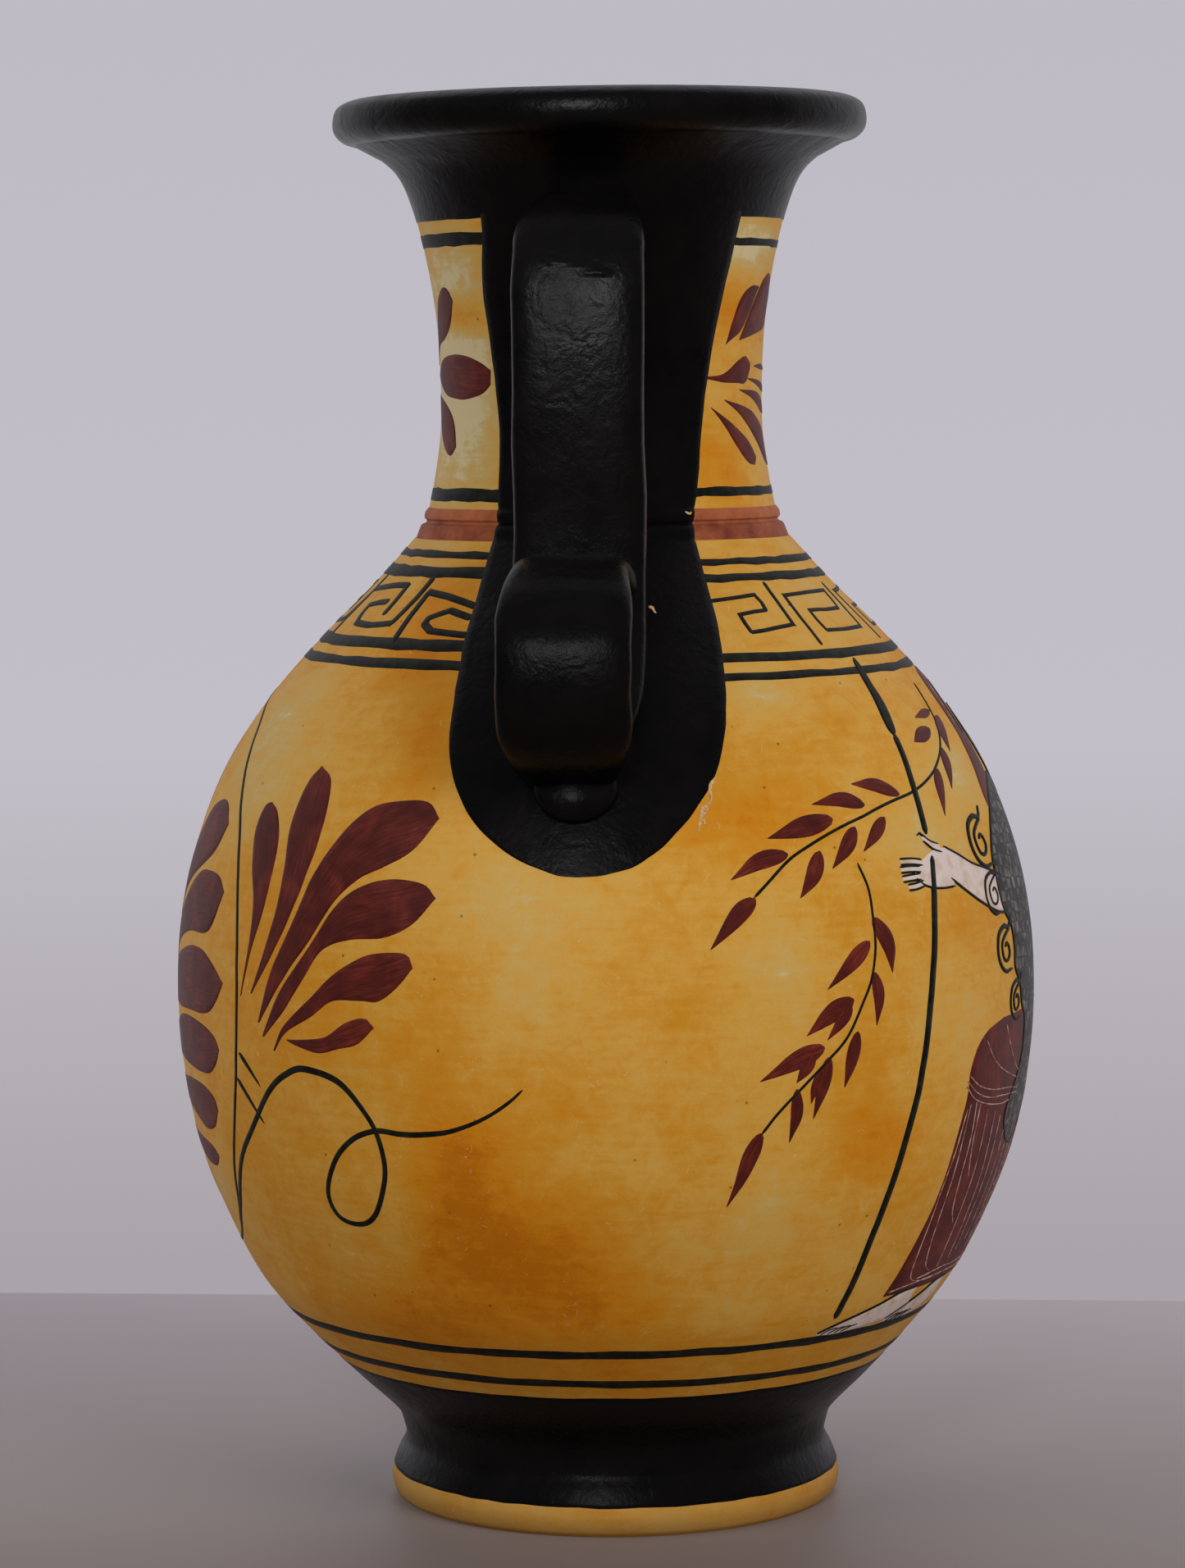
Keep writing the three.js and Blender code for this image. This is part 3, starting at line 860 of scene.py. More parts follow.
def two_sided(left, right):
    """Height of a line that the painter drew once for each side: left and right of the handle."""
    return lambda turn: left + (right - left) * (1 + np.tanh(4 * np.sin(np.radians(turn)))) / 2


# Each line: height on the left side, on the right side, thickness left, thickness right.
RINGS = [
    (251.6, 250.7, 2.8, 1.8), (201.7, 202.1, 2.7, 2.0), (190.3, 188.8, 1.6, 1.5), (187.0, 185.8, 2.3, 1.7),
    (173.7, 171.2, 2.3, 1.9), (170.2, 167.8, 1.9, 1.6), (40.2, 40.3, 1.9, 1.9), (33.6, 33.2, 1.8, 1.8),
]
ring_coats = []
for number, (left, right, thick_left, thick_right) in enumerate(RINGS):
    low = two_sided(left - thick_left / 2, right - thick_right / 2)
    high = two_sided(left + thick_left / 2, right + thick_right / 2)
    ring_coats.append(band(low, high, lift=0.08, shake=0.16, seed=10 + number))
painted("brush_rings", ring_coats, line_slip)


def stroke(path, width, lift=0.09, shake=0.06, columns=3, step=0.9, seed=0):
    """One brush stroke through points of (turn, height): width is one number or one for each
    point, set off square to the path on both sides, and the tip lifts off narrow."""
    widths = np.broadcast_to(np.asarray(width, float), len(path))
    line = even_line(np.column_stack([np.asarray(path, float), widths]), step=step)
    line = shaken(line, shake, np.random.default_rng(seed + int(abs(path[0][0]) * 10)))
    radius, lean = np.interp(line[:, 1], LEVELS, RADII), np.hypot(1, np.interp(line[:, 1], LEVELS, SLOPES))
    side = np.gradient(np.radians(line[:, 0])) * radius
    rise = np.gradient(line[:, 1]) * lean
    length = np.maximum(np.hypot(side, rise), 1e-6)
    half = np.maximum(line[:, 2], 0.12) / 2
    half[[0, -1]] *= 0.4
    off = np.stack([np.degrees(-rise / length * half / radius), side / length * half / lean], -1)
    return coat(line[:, :2] - off, line[:, :2] + off, columns, lift, seed=float(seed))


def petal(upper, lower, columns=7, lift=0.1, shake=0.1, seed=0):
    """One pressed brush mark between an upper and a lower edge, from its root to its tip."""
    rng = np.random.default_rng(seed + int(abs(upper[-1][1]) * 10))
    count = max(10, int(max(brush_length(np.asarray(edge, float))[-1] for edge in (upper, lower)) / 1.1))
    edges = [even_line(edge, count) for edge in (upper, lower)]
    free = 1 - np.abs(np.linspace(-1, 1, count))[:, None] ** 6
    edges = [edge + (shaken(edge, shake, rng) - edge) * free for edge in edges]
    return coat(edges[0], edges[1], columns, lift, seed=float(seed))


def across_side(path, centre):
    """The path's mirror image about the line of one painted side's centre."""
    return [(2 * centre - point[0], *point[1:]) for point in path]


RIGHT_KEYS = [
    [(48, 185), (48.2, 181), (48.1, 176.8), (42, 176.3), (36, 175.7), (35.5, 177.4), (35.3, 179),
     (39.4, 179.4), (43, 179.6), (43.2, 181), (42.5, 182.5), (36, 182.1), (29, 181.6)],
    [(75.3, 184.1), (74.4, 180), (73.2, 175.5), (65, 175.3), (57.2, 175.4), (56.7, 177.4), (56.8, 179.2),
     (63, 179.1), (70.3, 179.2), (71.2, 180.8), (71.7, 182.6), (62, 182.5), (51.9, 182.1), (51.8, 178),
     (52.3, 172.6)],
]
LEFT_KEYS = [
    [(-44.4, 186.3), (-45.4, 182), (-47.3, 177.3), (-55, 176.7), (-62.5, 177), (-64, 178.6), (-64.4, 180.3),
     (-60, 180.9), (-55.4, 181.2)],
    [(-53, 178.6), (-52.8, 181.4), (-53, 184.4), (-62, 184), (-72, 183.1), (-72.3, 178), (-72, 173.6)],
    [(-42.5, 173.7), (-42.9, 179), (-42.5, 183.3), (-35, 182.6), (-25, 180.8)],
    [(-25, 178.6), (-32, 180), (-36.8, 178.6), (-37, 177.5), (-34, 176.2), (-24, 175.6)],
]


def cornered(path):
    """The path with each point doubled a little way apart, so that the curve turns there sharply."""
    p = np.asarray(path, float)
    first = p[:-1] + (p[1:] - p[:-1]) * 0.04
    last = p[1:] - (p[1:] - p[:-1]) * 0.04
    return np.stack([first, last], 1).reshape(-1, 2).tolist()


KEY_PITCH = 27
key_coats = [stroke(cornered(path), 1.2, step=0.5, seed=21) for path in RIGHT_KEYS]
for repeat in (1, 2, 3):
    path = [(turn + KEY_PITCH * repeat, level) for turn, level in RIGHT_KEYS[1]]
    key_coats.append(stroke(cornered(path), 1.2, step=0.5, seed=22 + repeat))
key_coats += [stroke(cornered(path), 1.9, step=0.5, seed=26) for path in LEFT_KEYS]
for repeat in (1, 2, 3):
    for path in LEFT_KEYS[:2]:
        moved = [(turn - KEY_PITCH * repeat, level) for turn, level in path]
        key_coats.append(stroke(cornered(moved), 1.7, step=0.5, seed=28 + repeat))
painted("key_pattern", key_coats, line_slip)

# ---- Palmette side --------------------------------------------------------------------------
# The left side has a great palmette in a drawn oval, and outside the oval a half palmette and a
# looping tendril towards each handle. Petals are single pressed strokes of a full round brush.

PALMETTE_TURN = -90
OVAL = [
    (-90, 163.5), (-82, 161.4), (-72.7, 157.8), (-67.8, 153.2), (-62.1, 145.3), (-56.5, 135.4), (-52.6, 122),
    (-51.3, 108.2), (-52, 94), (-54.4, 82.8), (-58.7, 71), (-63, 62.5), (-70, 56), (-80, 53), (-90, 52.2),
]
TENDRIL = [
    (-66, 59), (-60, 66), (-54, 76), (-50, 81.5), (-44.5, 90), (-41, 93.5), (-37.5, 95), (-32, 93.3),
    (-28.3, 88.3), (-26.3, 82.8), (-26, 75.7), (-28.5, 68.2), (-31.8, 65.4), (-35.3, 66.4), (-36.3, 71),
    (-34, 77.5), (-30.5, 82.3), (-26.6, 84.4), (-23, 84.2), (-19, 84.5), (-15, 85.7), (-11, 88.3),
    (-8, 91.2), (-6.2, 93.7),
]
TENDRIL_WIDTHS = [1.5] * 8 + [1.3] * 12 + [1.1, 0.9, 0.8, 0.5]
TICKS = [[(-51, 96), (-49, 93.6), (-46.6, 90.3)], [(-52, 91), (-49.6, 87.4), (-46.8, 83)]]
# Half palmette petals outside the oval: upper edge, then lower edge, both from root to tip.
HALF_PALMETTE = [
    ([(-50.4, 107), (-49, 117), (-49.2, 125), (-51.5, 132.5), (-53, 138.5), (-52.6, 143), (-51, 143.8)],
     [(-50, 107.6), (-48, 117), (-46.5, 124.5), (-46, 133), (-46.8, 138.5), (-48.8, 142.3), (-51, 143.8)]),
    ([(-48, 108), (-45.6, 116), (-44, 124), (-43.8, 132), (-44.8, 140), (-44.2, 148), (-42.4, 151.2)],
     [(-47.6, 108), (-43.6, 116), (-40.5, 125), (-38.6, 134), (-38, 142), (-39.2, 148.6), (-42.4, 151.2)]),
    ([(-46.4, 102.6), (-44, 112), (-40.5, 122), (-38, 131), (-34.5, 139), (-30, 144.5), (-24, 146),
      (-20.8, 145.6), (-19, 142.8)],
     [(-45.8, 102.8), (-41.5, 111), (-37, 119), (-33.5, 126.5), (-30, 131), (-26, 133.8), (-22, 137),
      (-19, 142.8)]),
    ([(-45.4, 100.4), (-42, 109), (-37, 118), (-33.5, 125.4), (-30, 129.6), (-25, 131.6), (-20, 131),
      (-18, 128.4)],
     [(-45, 100), (-41, 105.5), (-37.5, 112), (-34.5, 117.6), (-30, 120), (-25, 120.8), (-21, 123.5),
      (-18, 128.4)]),
    ([(-43.2, 98), (-41, 103), (-36, 109), (-32, 114), (-28, 117.2), (-24, 118.2), (-21.4, 118),
      (-20.6, 115.5)],
     [(-42.9, 97.6), (-40.5, 101.5), (-36, 105), (-32.5, 108.2), (-28, 108.9), (-25.4, 109), (-22.5, 112),
      (-20.6, 115.5)]),
    ([(-40.5, 100.3), (-36.5, 100.8), (-33.5, 101.8), (-30.5, 104.6), (-27.4, 105.8), (-26, 104)],
     [(-40.3, 99.9), (-38.4, 99), (-35, 98.2), (-31.5, 99.4), (-28.6, 100.6), (-26, 104)]),
]
# Petals inside the oval, given in the same way.
GREAT_PALMETTE = [
    ([(-84, 119), (-80, 131), (-75, 139.5), (-70, 142.4), (-65.5, 142.2), (-62.2, 138.5)],
     [(-84, 117), (-79, 122.5), (-74, 126.6), (-68, 130.2), (-64, 133.5), (-62.2, 138.5)]),
    ([(-84.5, 108), (-80, 118), (-74, 124.7), (-69, 128.6), (-64.5, 129.4), (-60, 128.8), (-57.5, 126)],
     [(-84.5, 106.4), (-80, 111.5), (-74, 115.2), (-68, 117), (-62, 117.4), (-59.5, 119.8), (-57.5, 126)]),
    ([(-86, 101.5), (-80, 109.5), (-74, 112.6), (-68, 114.3), (-63, 114.5), (-58.5, 112.2), (-55, 108.8)],
     [(-86, 100), (-80, 101), (-74, 101.2), (-66, 101.6), (-60, 102.2), (-57, 105), (-55, 108.8)]),
    ([(-86, 95), (-80, 97.2), (-74, 99.8), (-68, 100.6), (-62, 99.8), (-58, 98.2), (-56.6, 95.6)],
     [(-86, 93.6), (-80, 91), (-74, 90.6), (-66, 90), (-61, 90.2), (-58, 92.5), (-56.6, 95.6)]),
    ([(-85.5, 87), (-80, 86.6), (-74, 87.4), (-68, 87.9), (-63, 87.2), (-60, 85.4), (-59.6, 83)],
     [(-85.5, 85.6), (-80, 82.4), (-74, 80.8), (-70, 79.6), (-66, 78.2), (-62, 79.4), (-59.6, 83)]),
    ([(-85, 79.4), (-80, 76.4), (-74, 76.2), (-68, 75.6), (-65, 74.8), (-63.4, 73.2)],
     [(-85, 78.6), (-80, 74.5), (-74, 71.6), (-70, 70.4), (-66, 70.8), (-63.4, 73.2)]),
]

petal_coats, line_coats = [], []
for mirrored in (False, True):
    def placed(path):
        return across_side(path, PALMETTE_TURN) if mirrored else path
    for number, (upper, lower) in enumerate(HALF_PALMETTE):
        petal_coats.append(petal(placed(upper), placed(lower), columns=9, seed=40 + number))
    for number, (upper, lower) in enumerate(GREAT_PALMETTE):
        petal_coats.append(petal(placed(upper), placed(lower), columns=9, seed=50 + number))
    line_coats.append(stroke(placed(OVAL), 1.2, seed=60))
    line_coats.append(stroke(placed(TENDRIL), TENDRIL_WIDTHS, seed=61))
    line_coats += [stroke(placed(tick), [1.3, 1.2, 0.6], seed=62) for tick in TICKS]
    volute_turn = np.linspace(0, 3.6 * math.pi, 26)
    volute_size = np.linspace(8.2, 1.0, 26)
    volute = [
        (-83.4 + size * math.cos(a) * 0.72, 66 + size * math.sin(a))
        for a, size in zip(volute_turn + 2.4, volute_size)
    ]
    line_coats.append(stroke(placed(volute), 1.0, seed=63))
petal_coats.append(
    petal(
        [(-90.2, 104), (-93.6, 128), (-95.2, 143), (-93.4, 153), (-90, 158)],
        [(-89.8, 104), (-86.4, 128), (-84.8, 143), (-86.6, 153), (-90, 158)], columns=9, seed=58,
    )
)
core = np.linspace(-math.pi / 2, math.pi / 2, 9)
petal_coats.append(
    petal(
        [(PALMETTE_TURN - 4.4 * math.cos(a), 92 + 6.5 * math.sin(a)) for a in core],
        [(PALMETTE_TURN + 4.4 * math.cos(a), 92 + 6.5 * math.sin(a)) for a in core], columns=9, seed=59,
    )
)
# The sprig on the left of the neck: three leaves to each side of one stem.
NECK_LEAVES = [
    ([(-84, 228), (-74, 238), (-66, 242), (-60, 242.2), (-56.6, 239.6)],
     [(-84, 227), (-76, 230.8), (-68, 232), (-61, 234.6), (-56.6, 239.6)]),
    ([(-82, 225.6), (-72, 228.4), (-60, 229.3), (-50, 228.8), (-42, 227.4), (-37.8, 226)],
     [(-82, 224.6), (-70, 221.4), (-58, 220.3), (-50, 220.4), (-42, 221.4), (-38.2, 223)]),
    ([(-84, 221.6), (-74, 220.4), (-66, 218.6), (-60.6, 216), (-57.8, 211)],
     [(-84, 220.6), (-76, 214), (-68, 210.4), (-61.6, 209.2), (-57.8, 211)]),
]
for mirrored in (False, True):
    for number, (upper, lower) in enumerate(NECK_LEAVES):
        if mirrored:
            upper, lower = across_side(upper, PALMETTE_TURN), across_side(lower, PALMETTE_TURN)
        petal_coats.append(petal(upper, lower, columns=7, seed=70 + number))
line_coats.append(stroke([(-90, 207), (-90.4, 220), (-90, 232), (-89.6, 244)], [1.2, 1.0, 0.8, 0.4], seed=74))
painted("palmette_petals", petal_coats, iron_red)
painted("palmette_lines", line_coats, line_slip)

# ---- Branches, spear and neck flower of the figure side -------------------------------------
# The right side has a standing draped figure between two leafy branches. Branch leaves are one
# touch of the brush each; their stems are the thinnest lines on the vase.

FIGURE_TURN = 91
STEMS = [
    [(75.1, 164.3), (72.4, 157.7), (68.9, 153.7), (64.8, 150.5), (59.4, 147.4), (53.8, 145.3), (48.3, 143.8),
     (43.6, 142.2), (37.2, 139.7), (32.4, 137.1), (28.7, 134.3), (25.3, 130.4), (23.6, 128.3)],
    [(39.7, 133.4), (40.7, 128.9), (40.8, 123.9), (40.7, 117.8), (39.8, 112.3), (38.3, 107.9), (35.9, 101.7),
     (32.8, 97.2), (29.9, 93.4), (26.3, 88.2), (24.1, 84.3)],
]
# Each leaf: its root, its middle, its tip and its width in mm. Forked leaves are two touches.
LEAVES = [
    ((50.8, 145.3), (46.5, 147), (42, 147.8), 3.3), ((43.5, 143.8), (39.5, 145), (34.5, 144.6), 3.4),
    ((37, 141.6), (32, 140.6), (26.5, 138.9), 4.3), ((29, 136), (25, 134.8), (20.6, 131.6), 3.6),
    ((23.7, 128), (21, 125), (17.4, 119), 3.7), ((46.5, 141.2), (44, 138.5), (41, 135.2), 3.0),
    ((40.6, 140), (38.5, 136.5), (35.5, 132.6), 3.4), ((34, 136), (32.4, 132), (30, 127.8), 3.6),
    ((72.6, 159.3), (69, 158.9), (65, 158.2), 2.2), ((67.6, 156), (63.5, 155), (60.2, 154), 3.4),
    ((74.8, 158), (72, 155), (70.3, 151.5), 4.0), ((68, 152.5), (66.8, 149.5), (64.8, 145), 3.6),
    ((63, 148.8), (61.3, 145.5), (59.9, 140.2), 3.4), ((40.6, 123.4), (42.8, 118.5), (43.3, 112.6), 3.8),
    ((39.8, 119), (37, 115.5), (33, 110.6), 3.5), ((40.2, 113.2), (40.8, 108.5), (40.3, 103.2), 3.0),
    ((36.8, 108.6), (33.5, 106.4), (29.8, 102.4), 4.0), ((36.4, 107.4), (35, 104.6), (33, 101.3), 2.8),
    ((37.4, 102.6), (36.6, 97.5), (35.5, 92), 3.2), ((32.4, 100), (28.6, 98), (23.6, 94.2), 4.0),
    ((31, 99), (29.8, 96.4), (28.5, 93.6), 3.0), ((33.2, 98), (32.4, 93), (31.3, 86.8), 3.2),
    ((32, 96), (31.2, 92.6), (30.8, 89.6), 2.2), ((28.8, 92.4), (28.7, 87.5), (28, 82.4), 2.8),
    ((24, 84.4), (22.5, 79), (20.1, 70.7), 3.4),
]
leaf_coats, stem_coats = [], []
for mirrored in (False, True):
    for number, (root, middle, tip, width) in enumerate(LEAVES):
        path = through([root, middle, tip], 6)
        path = across_side(path.tolist(), FIGURE_TURN) if mirrored else path.tolist()
        widths = [0.4 * width, 0.85 * width, width, 0.86 * width, 0.5 * width, 0.3]
        leaf_coats.append(stroke(path, widths, columns=5, step=0.6, shake=0.2, seed=80 + number))
    for path in STEMS:
        path = across_side(path, FIGURE_TURN) if mirrored else path
        stem_coats.append(stroke(path, 0.7, lift=0.14, seed=105))
SPEAR_HEAD = [(58.9, 170), (58.3, 168), (57.5, 165), (57, 161.5), (56.2, 158), (55.8, 155.6)]
SPEAR_ABOVE_HAND = [(56, 155.8), (54.8, 147.3), (54.1, 140), (53.9, 137.4)]
SPEAR_BELOW_HAND = [
    (53.8, 133.4), (52.5, 125.6), (51.1, 115.6), (50.1, 108), (49.5, 102.3), (48.2, 90.3), (46.6, 79.3),
    (45, 66.9), (44, 55), (43.1, 44.9),
]
SPEAR_HEAD_WIDTHS = [1.2, 2.3, 2.5, 3.1, 3.0, 1.9]
stem_coats.append(stroke(SPEAR_HEAD, SPEAR_HEAD_WIDTHS, lift=0.16, shake=0.16, columns=5, seed=106))
for path in (SPEAR_ABOVE_HAND, SPEAR_BELOW_HAND):
    stem_coats.append(stroke(path, 1.8, lift=0.2, shake=0.1, seed=107))
# The flower on the right of the neck: a bud, curling leaves above and thin blades below.
NECK_FLOWER = [
    ([(42.5, 224.4), (52, 225), (60, 227.4), (66, 228.6), (69.6, 227.2)],
     [(42.5, 224), (52, 223.2), (60, 223), (66, 223), (69.6, 225.6)]),
    ([(53, 230.8), (56.6, 236), (60, 240), (66, 242.2), (72, 242.2)],
     [(53, 230.6), (58, 232), (62, 233.4), (67, 237), (72, 241.8)]),
    ([(61, 231.8), (70, 239.6), (76, 243.6), (84, 244.8), (90.5, 240.6)],
     [(61, 231.4), (70, 232.4), (78, 233.2), (86, 234.4), (90.5, 239.8)]),
    ([(46, 218.5), (54, 216.4), (60, 214.4), (68, 211.6), (72.4, 208.8)],
     [(46, 218.3), (53, 214.4), (59, 210.6), (65, 207.6), (70, 207)]),
    ([(53, 220), (66, 218.6), (75, 217.2), (86, 213.6), (91.5, 207.4)],
     [(53, 219.7), (65, 215.8), (75, 211.6), (84, 207.4), (91.5, 206.8)]),
    ([(62, 222), (74, 221.8), (84, 220.6), (94, 217.4)], [(62, 221.7), (74, 219.6), (84, 217.4), (94, 217)]),
    ([(68, 224.2), (78, 224), (88, 223.2), (96, 221.8)],
     [(68, 223.9), (78, 222.6), (88, 221.4), (96, 221.5)]),
    ([(74, 226.7), (84, 227), (94, 226)], [(74, 226.3), (84, 225.7), (94, 225.7)]),
]
for mirrored in (False, True):
    for number, (upper, lower) in enumerate(NECK_FLOWER):
        if mirrored:
            upper, lower = across_side(upper, FIGURE_TURN + 4), across_side(lower, FIGURE_TURN + 4)
        leaf_coats.append(petal(upper, lower, columns=5, lift=0.1 + 0.015 * mirrored, seed=110 + number))
painted("branch_leaves", leaf_coats, iron_red)
painted("stems_and_spear", stem_coats, line_slip)

# ---- Draped figure --------------------------------------------------------------------------
# The painted figure stands in a long red dress and a scaled grey cloak edged with curls, its
# head in a crested helmet turned away from the spear that its stretched left arm holds. Flesh is
# white paint, folds are cream hairlines, and outlines are the green-black of the other lines.

# White slip: fine kaolin paint, matt, laid on thin enough for the ochre to warm it in places.
kaolin_white, tree, shader = start_material("kaolin_white_slip")
where = add_node(tree, "ShaderNodeTexCoord")
cover = add_node(
    tree, "ShaderNodeTexNoise", {"Vector": where.outputs["Object"], "Scale": 1 / (3 * MM), "Detail": 5.0},
)
tint = add_node(tree, "ShaderNodeValToRGB", {"Fac": cover.outputs["Fac"]})
tint.color_ramp.elements[0].position = 0.3
tint.color_ramp.elements[0].color = linear("#cfae94")
tint.color_ramp.elements[1].position = 0.55
tint.color_ramp.elements[1].color = linear("#dfcdc4")
tree.links.new(tint.outputs["Color"], shader.inputs["Base Color"])
shader.inputs["Roughness"].default_value = 0.7
bump = add_node(
    tree, "ShaderNodeBump", {"Height": cover.outputs["Fac"], "Strength": 0.25, "Distance": 0.0001},
)
tree.links.new(bump.outputs["Normal"], shader.inputs["Normal"])

# Grey slip for the cloak: manganese mixed with white, matt, drawn over with rows of small round
# scales 2.3 mm apart in the darker line colour.
SCALE_MM = 2.3
grey_slip, tree, shader = start_material("scaled_grey_slip")
where = add_node(tree, "ShaderNodeAttribute", attribute_name="brush")
scales = add_node(
    tree, "ShaderNodeTexVoronoi",
    {"Vector": where.outputs["Vector"], "Scale": 1 / SCALE_MM, "Randomness": 0.35},
    feature="DISTANCE_TO_EDGE",
)
rim = add_node(
    tree, "ShaderNodeMapRange",
    {"Value": scales.outputs["Distance"], "From Min": 0.04, "From Max": 0.2, "To Min": 0.0, "To Max": 1.0},
)
cloudy = add_node(
    tree, "ShaderNodeTexNoise", {"Vector": where.outputs["Vector"], "Scale": 0.16, "Detail": 3.0},
)
worn = add_node(
    tree, "ShaderNodeMath", {0: rim.outputs["Result"], 1: cloudy.outputs["Fac"]}, operation="MULTIPLY",
)
tint = add_node(tree, "ShaderNodeValToRGB", {"Fac": worn.outputs["Value"]})
tint.color_ramp.elements[0].color = linear("#2c2928")
tint.color_ramp.elements[1].position = 0.62
tint.color_ramp.elements[1].color = linear("#857d78")
tree.links.new(tint.outputs["Color"], shader.inputs["Base Color"])
shader.inputs["Roughness"].default_value = 0.62
bump = add_node(
    tree, "ShaderNodeBump", {"Height": worn.outputs["Value"], "Strength": 0.3, "Distance": 0.0001},
)
tree.links.new(bump.outputs["Normal"], shader.inputs["Normal"])

DRESS = (
    [(68, 100.4), (63.6, 98.9), (60.6, 96), (59.1, 91.6), (58.9, 86.7), (57.5, 76.7), (56.3, 65), (54.4, 55),
     (52.5, 47.6)],
    [(88, 101), (94, 100.2), (98.4, 96.6), (100, 91), (100.4, 86), (101.6, 76), (103, 65), (104.8, 55),
     (106.6, 47.8)],
)
DRESS_CREST = (
    [(97.5, 162.4), (94, 166), (88, 166.8), (83.4, 165), (81, 160), (79.6, 154), (77.6, 148), (76, 142.6),
     (76.6, 138)],
    [(97, 159.6), (93, 161.4), (89.4, 160.4), (87, 157), (86, 152), (85, 147), (83, 142), (80.6, 138.6),
     (76.6, 138)],
)
CLOAK = (
    [(86, 146), (80.4, 143.4), (76, 139.4), (72.8, 135.6), (70.4, 131.4), (69.8, 126), (70.4, 121.4),
     (72.6, 117.6), (73, 113), (72.8, 109.6), (74.8, 106), (75.6, 102), (77.4, 98.4), (77, 91),
     (73.8, 84.4), (72.4, 80), (75.4, 75.4), (79.4, 73.4)],
    [(95, 145.4), (101.6, 141.6), (105.6, 135), (107, 127), (106.4, 119), (104.4, 112), (101.4, 105),
     (99.4, 99), (96.4, 92), (91, 86), (86, 80), (82.4, 75.6), (79.4, 73.4)],
)
FOREARM = (
    [(57, 134.8), (60, 133), (63, 131.1), (66.4, 129.7), (69.4, 128.6), (72, 127.4)],
    [(57, 128.8), (60, 126.2), (63.4, 123.7), (66.4, 121.9), (69, 120.8), (72, 120.4)],
)
PALM = (
    [(49.6, 130.8), (51.4, 132.6), (53.4, 133.8), (55.6, 134.8), (57.6, 134.3)],
    [(49.6, 129.6), (51, 128.2), (53.2, 127.4), (55.6, 127.2), (57.6, 127.3)],
)
FINGERS = [
    [(51.4, 132.4), (49.4, 132.8), (47.2, 132.9)], [(50.8, 131.2), (48.8, 131.4), (46.9, 131.4)],
    [(50.6, 129.9), (48.8, 129.8), (47, 129.7)], [(51, 128.6), (49.4, 128.2), (47.8, 128.1)],
]
THUMB = [(56, 134.6), (54.2, 135.4), (52.6, 137)]
FOOT_FORE = (
    [(40.8, 41.9), (44, 43.2), (48, 44.6), (52.5, 46), (57, 47.6), (62, 48)],
    [(40.8, 41.3), (45, 41), (50, 41.2), (54.6, 41.6), (58.6, 42), (62, 43.4)],
)
FOOT_REAR = (
    [(57, 42.2), (60.6, 43.9), (64.6, 45.6), (69, 47.6), (73, 48)],
    [(57, 41.4), (62, 41.1), (67, 41.4), (71, 42.4), (73, 44)],
)
FAR_FOREARM = (
    [(104, 129.6), (108, 127.6), (112.4, 125.8), (117, 125.4)],
    [(103.6, 123.6), (108, 122.6), (112.6, 121.8), (117, 121.6)],
)
FAR_HAND = (
    [(116.6, 125.6), (119.6, 126), (122.6, 125.4), (124.6, 124)],
    [(116.6, 121.4), (119.4, 121), (122.4, 122), (124.6, 124)],
)
# The head looks away from the spear; all of it is given in mm out from and above its middle,
# on the usual proportions: eye halfway down, nose and mouth on thirds, a straight brow line.
HEAD = (92.5, 150.6)
FACE_BACK = [(-1.4, 3.6), (-2.2, 1), (-2.4, -1.8), (-2.2, -4.6), (-2.8, -7), (-3.6, -9)]
FACE_FRONT = [
    (4.4, 3.6), (4.7, 2), (4.8, 0.8), (5.8, -1.5), (5.1, -2.1), (5.4, -2.9), (5.0, -3.4), (5.2, -4),
    (4.7, -4.6), (4.8, -5.6), (3.4, -6.4), (1.6, -6.8), (1.4, -8), (2.2, -9.4),
]
HELMET_BACK = [(1.4, 8.4), (-2.4, 7.8), (-5, 5.6), (-6.2, 2.4), (-5.8, -1), (-4.8, -3.4), (-5.2, -5.4)]
HELMET_FRONT = [
    (1.4, 8.4), (4, 6.8), (5.2, 4.2), (3.6, 2.6), (0.6, 1.2), (-1.6, -1.4), (-2.6, -4), (-3.6, -5.8),
]
BROW = [(3.0, 1.5), (3.9, 1.75), (4.6, 1.4)]
UPPER_LID = [(2.6, 0.1), (3.4, 0.6), (4.3, 0.25)]
LOWER_LID = [(2.8, -0.05), (3.5, -0.3), (4.2, 0.1)]
PUPIL = [(3.5, 0.35), (3.55, 0.15), (3.5, -0.1)]
MOUTH = [(3.9, -3.35), (4.6, -3.3), (5.1, -3.45)]


def from_head(path):
    """Points given out from and above the middle of the head, as (turn, height)."""
    radius = np.interp(HEAD[1], LEVELS, RADII)
    return [(HEAD[0] + math.degrees(out / radius), HEAD[1] + up) for out, up in path]


red_coats = [
    petal(*DRESS, columns=26, lift=0.1, seed=140),
    petal(*DRESS_CREST, columns=9, lift=0.1, seed=141),
]
white_coats = [
    petal(*FOREARM, columns=9, lift=0.12, seed=142), petal(*PALM, columns=9, lift=0.13, seed=143),
    petal(*FOOT_REAR, columns=7, lift=0.12, seed=144), petal(*FOOT_FORE, columns=7, lift=0.14, seed=145),
    petal(*FAR_FOREARM, columns=7, lift=0.12, seed=146), petal(*FAR_HAND, columns=7, lift=0.13, seed=147),
    petal(from_head(FACE_BACK), from_head(FACE_FRONT), columns=11, lift=0.11, shake=0.0, seed=148),
    stroke(THUMB, [1.9, 1.5, 0.9], lift=0.26, columns=5, step=0.5, seed=149),
]
for finger in FINGERS:
    white_coats.append(stroke(finger, [1.15, 1.1, 0.8], lift=0.14, columns=5, step=0.5, seed=150))
grey_coats = [
    petal(*CLOAK, columns=22, lift=0.15, seed=151),
    petal(from_head(HELMET_BACK), from_head(HELMET_FRONT), columns=9, lift=0.19, shake=0.02, seed=152),
]
